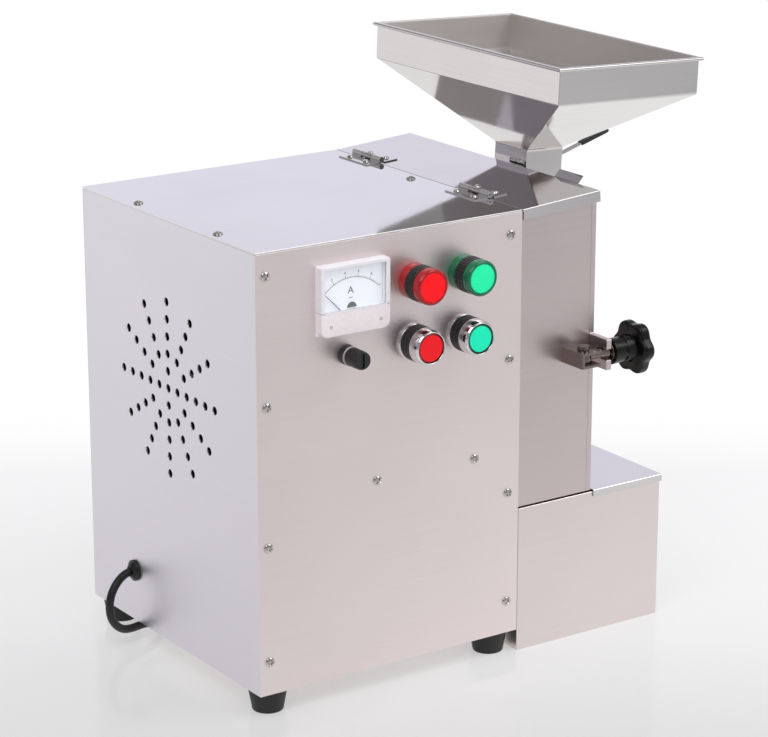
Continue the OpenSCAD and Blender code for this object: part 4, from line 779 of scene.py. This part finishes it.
# The gate's slots: the grid column where each starts, and its lowest and highest row among slot_z
cut, walls = [], []
for column, low, high in ((11, 0, 2), (3, 1, 3)):
    rows_out = first_out + np.arange(low, high + 1)
    rows_in = last_in - np.arange(low, high + 1)
    cut += [row * columns + column for row in np.concatenate([rows_out[:-1], rows_in[1:]])]
    loop_out = np.concatenate([rows_out * columns + column, rows_out[::-1] * columns + column + 1])
    loop_in = np.concatenate([rows_in * columns + column, rows_in[::-1] * columns + column + 1])
    walls.append(np.stack([loop_out, np.roll(loop_out, -1), np.roll(loop_in, -1), loop_in], -1))
kept_face = ~np.isin(np.arange(len(hopper_faces)), cut)
make_piece("hopper_tray", [(hopper_vertices, np.vstack([hopper_faces[kept_face & ~inner_face], *walls]), 0),
                           (hopper_vertices, hopper_faces[kept_face & inner_face], 1)],
           [hopper_steel, hopper_satin], "machine", "stainless_polished", "hopper", crease=30)

# Slide gate: a polished plate that runs in the neck's slots. Its handle strip is bent up outside the neck and
# carries a dipped black vinyl grip.
# Dipped vinyl: black, soft, half dull
vinyl = moulded("black_vinyl_grip", "#0f0e10", "#1c1a1d", 0.42, 1.2, 0.05)
dress(hopper_steel, 0.3, "gate_plate")
bend, plate_half, handle_root = math.radians(16.5), 0.75, np.array([382.5, 125.5, 383])
grip_along = np.array([math.cos(bend), 0, math.sin(bend)])
grip_up = np.array([-math.sin(bend), 0, math.cos(bend)])
grip_sections = [(26, *end_point), (26, 5.9, 2.0, 0.9), (26.6, 7.0, 3.0, 1.4), (28, 7.2, 3.2, 1.5),
                 (54.5, 7.2, 3.2, 1.5), (56.4, 6.4, 2.6, 1.2), (57, 5, 1.6, 0.7), (57, *end_point)]
grip_points = np.stack([handle_root + along * grip_along + plate_half * grip_up + box[:, :1] * [0, 1, 0]
                        + box[:, 1:] * grip_up
                        for along, box in ((s[0], rounded_box(*s[1:])) for s in grip_sections)])
make_piece("gate_handle_grip", [shell(grip_points)], [vinyl], "gate", "black_rubber", "gate_grip")

# Door clamp: a machined fork on the column, a swinging eye bolt through the door's lug, and a phenolic star
# knob that screws down on it.
# Machined stainless with bright tool marks drawn 0.8 mm apart to show; the dark, warm tone between them is
# painted shade, for the dark reflections on the fork's faces
fork_steel_painted_shade = stainless("machined_stainless_painted_shade", "#766b67", "#968b86", 0.16, (30, 30, 0.8), 0.003)
dress(fork_steel_painted_shade, 0.35, "clamp_bracket", "swing_bolt")
# Moulded phenolic: deep black with a hard gloss
phenolic = moulded("black_phenolic", "#050405", "#0c0b0c", 0.22, 1.5, 0.01, **{"Specular IOR Level": 0.33})
knob_centre, knob_hub_r = (331.7, -14, 251), 12.5


def star(angle, along, radius):
    """Six lobes: beyond the hub the radius dips by 14% towards the notches, with the power 1.2 of half of one
    less the cosine of six times the angle, so the tips are broad; the first lobe points to the back."""
    dip = 0.14 * (0.5 - 0.5 * np.cos(6 * angle)) ** 1.2
    lobed = radius * (1 - dip * np.clip((radius - knob_hub_r) / 6, 0, 1))
    return np.where(radius > knob_hub_r, lobed, radius + 0 * angle)


knob_profile = eased([[0, 3.95], [0, 11], [1.0, 11], [14, 10.4], [20, 11.8], [20, 12.6], [20.5, 19.8],
                      [21.8, 22.3], [23.6, 23], [28.6, 23], [30.4, 22.2], [31.6, 19.8], [32, 13], [31, 9],
                      [31, 0]], 1.2)
knob_bore = [[29, 0], [29, 3.95], [0, 3.95]]
make_piece("star_knob_grip", [turned(np.vstack([knob_bore, knob_profile[1:]]), knob_centre, "+x", 112, star)],
           [phenolic], "knob", "black_plastic", "star_knob")

# Collection bin: an open box of folded satin sheet that stands under the column and pulls out, with a
# lift-off polished lid.
# Brushed 304 sheet: pale, with level brush lines
bin_steel = stainless("satin_stainless_bin", "#e5dad9", "#ece2e0", 0.36, (140, 3, 0.9), 0.002)
dress(bin_steel, 0.4, "collection_bin")
dress(lid_steel, 0.4, "bin_lid")

# Motor and grinding chamber, inside the cabinet and column: a cast motor with enamelled frame and copper
# winding, steel shaft and bearings, and the stainless drum, ring screen, pinned rotor and fixed disc.
# Sprayed enamel on a casting: mid grey, half dull
motor_enamel = moulded("grey_motor_enamel", "#5f666a", "#727a7e", 0.45, 1.5, 0.05)
# Enamelled wire: brown red, with the wires' fine relief
copper = moulded("enamelled_copper", "#8a4a22", "#b4652f", 0.35, 0.8, 0.08, Metallic=1.0)
# Turned steel: grey, with rings left by the tool, drawn 0.8 mm apart
turned_steel = stainless("turned_steel", "#a9a8a6", "#c2c1bf", 0.28, (0.8, 20, 20), 0.006)
dress(motor_enamel, 0.6, "motor_frame", "end_bells")
dress(copper, 0, "stator")
dress(turned_steel, 0, "motor_shaft", "rotor_core", "bearings", "grinding_drum", "ring_screen",
      "grinding_rotor", "fixed_disc")
dress(abs_black, 0, "cooling_fan")
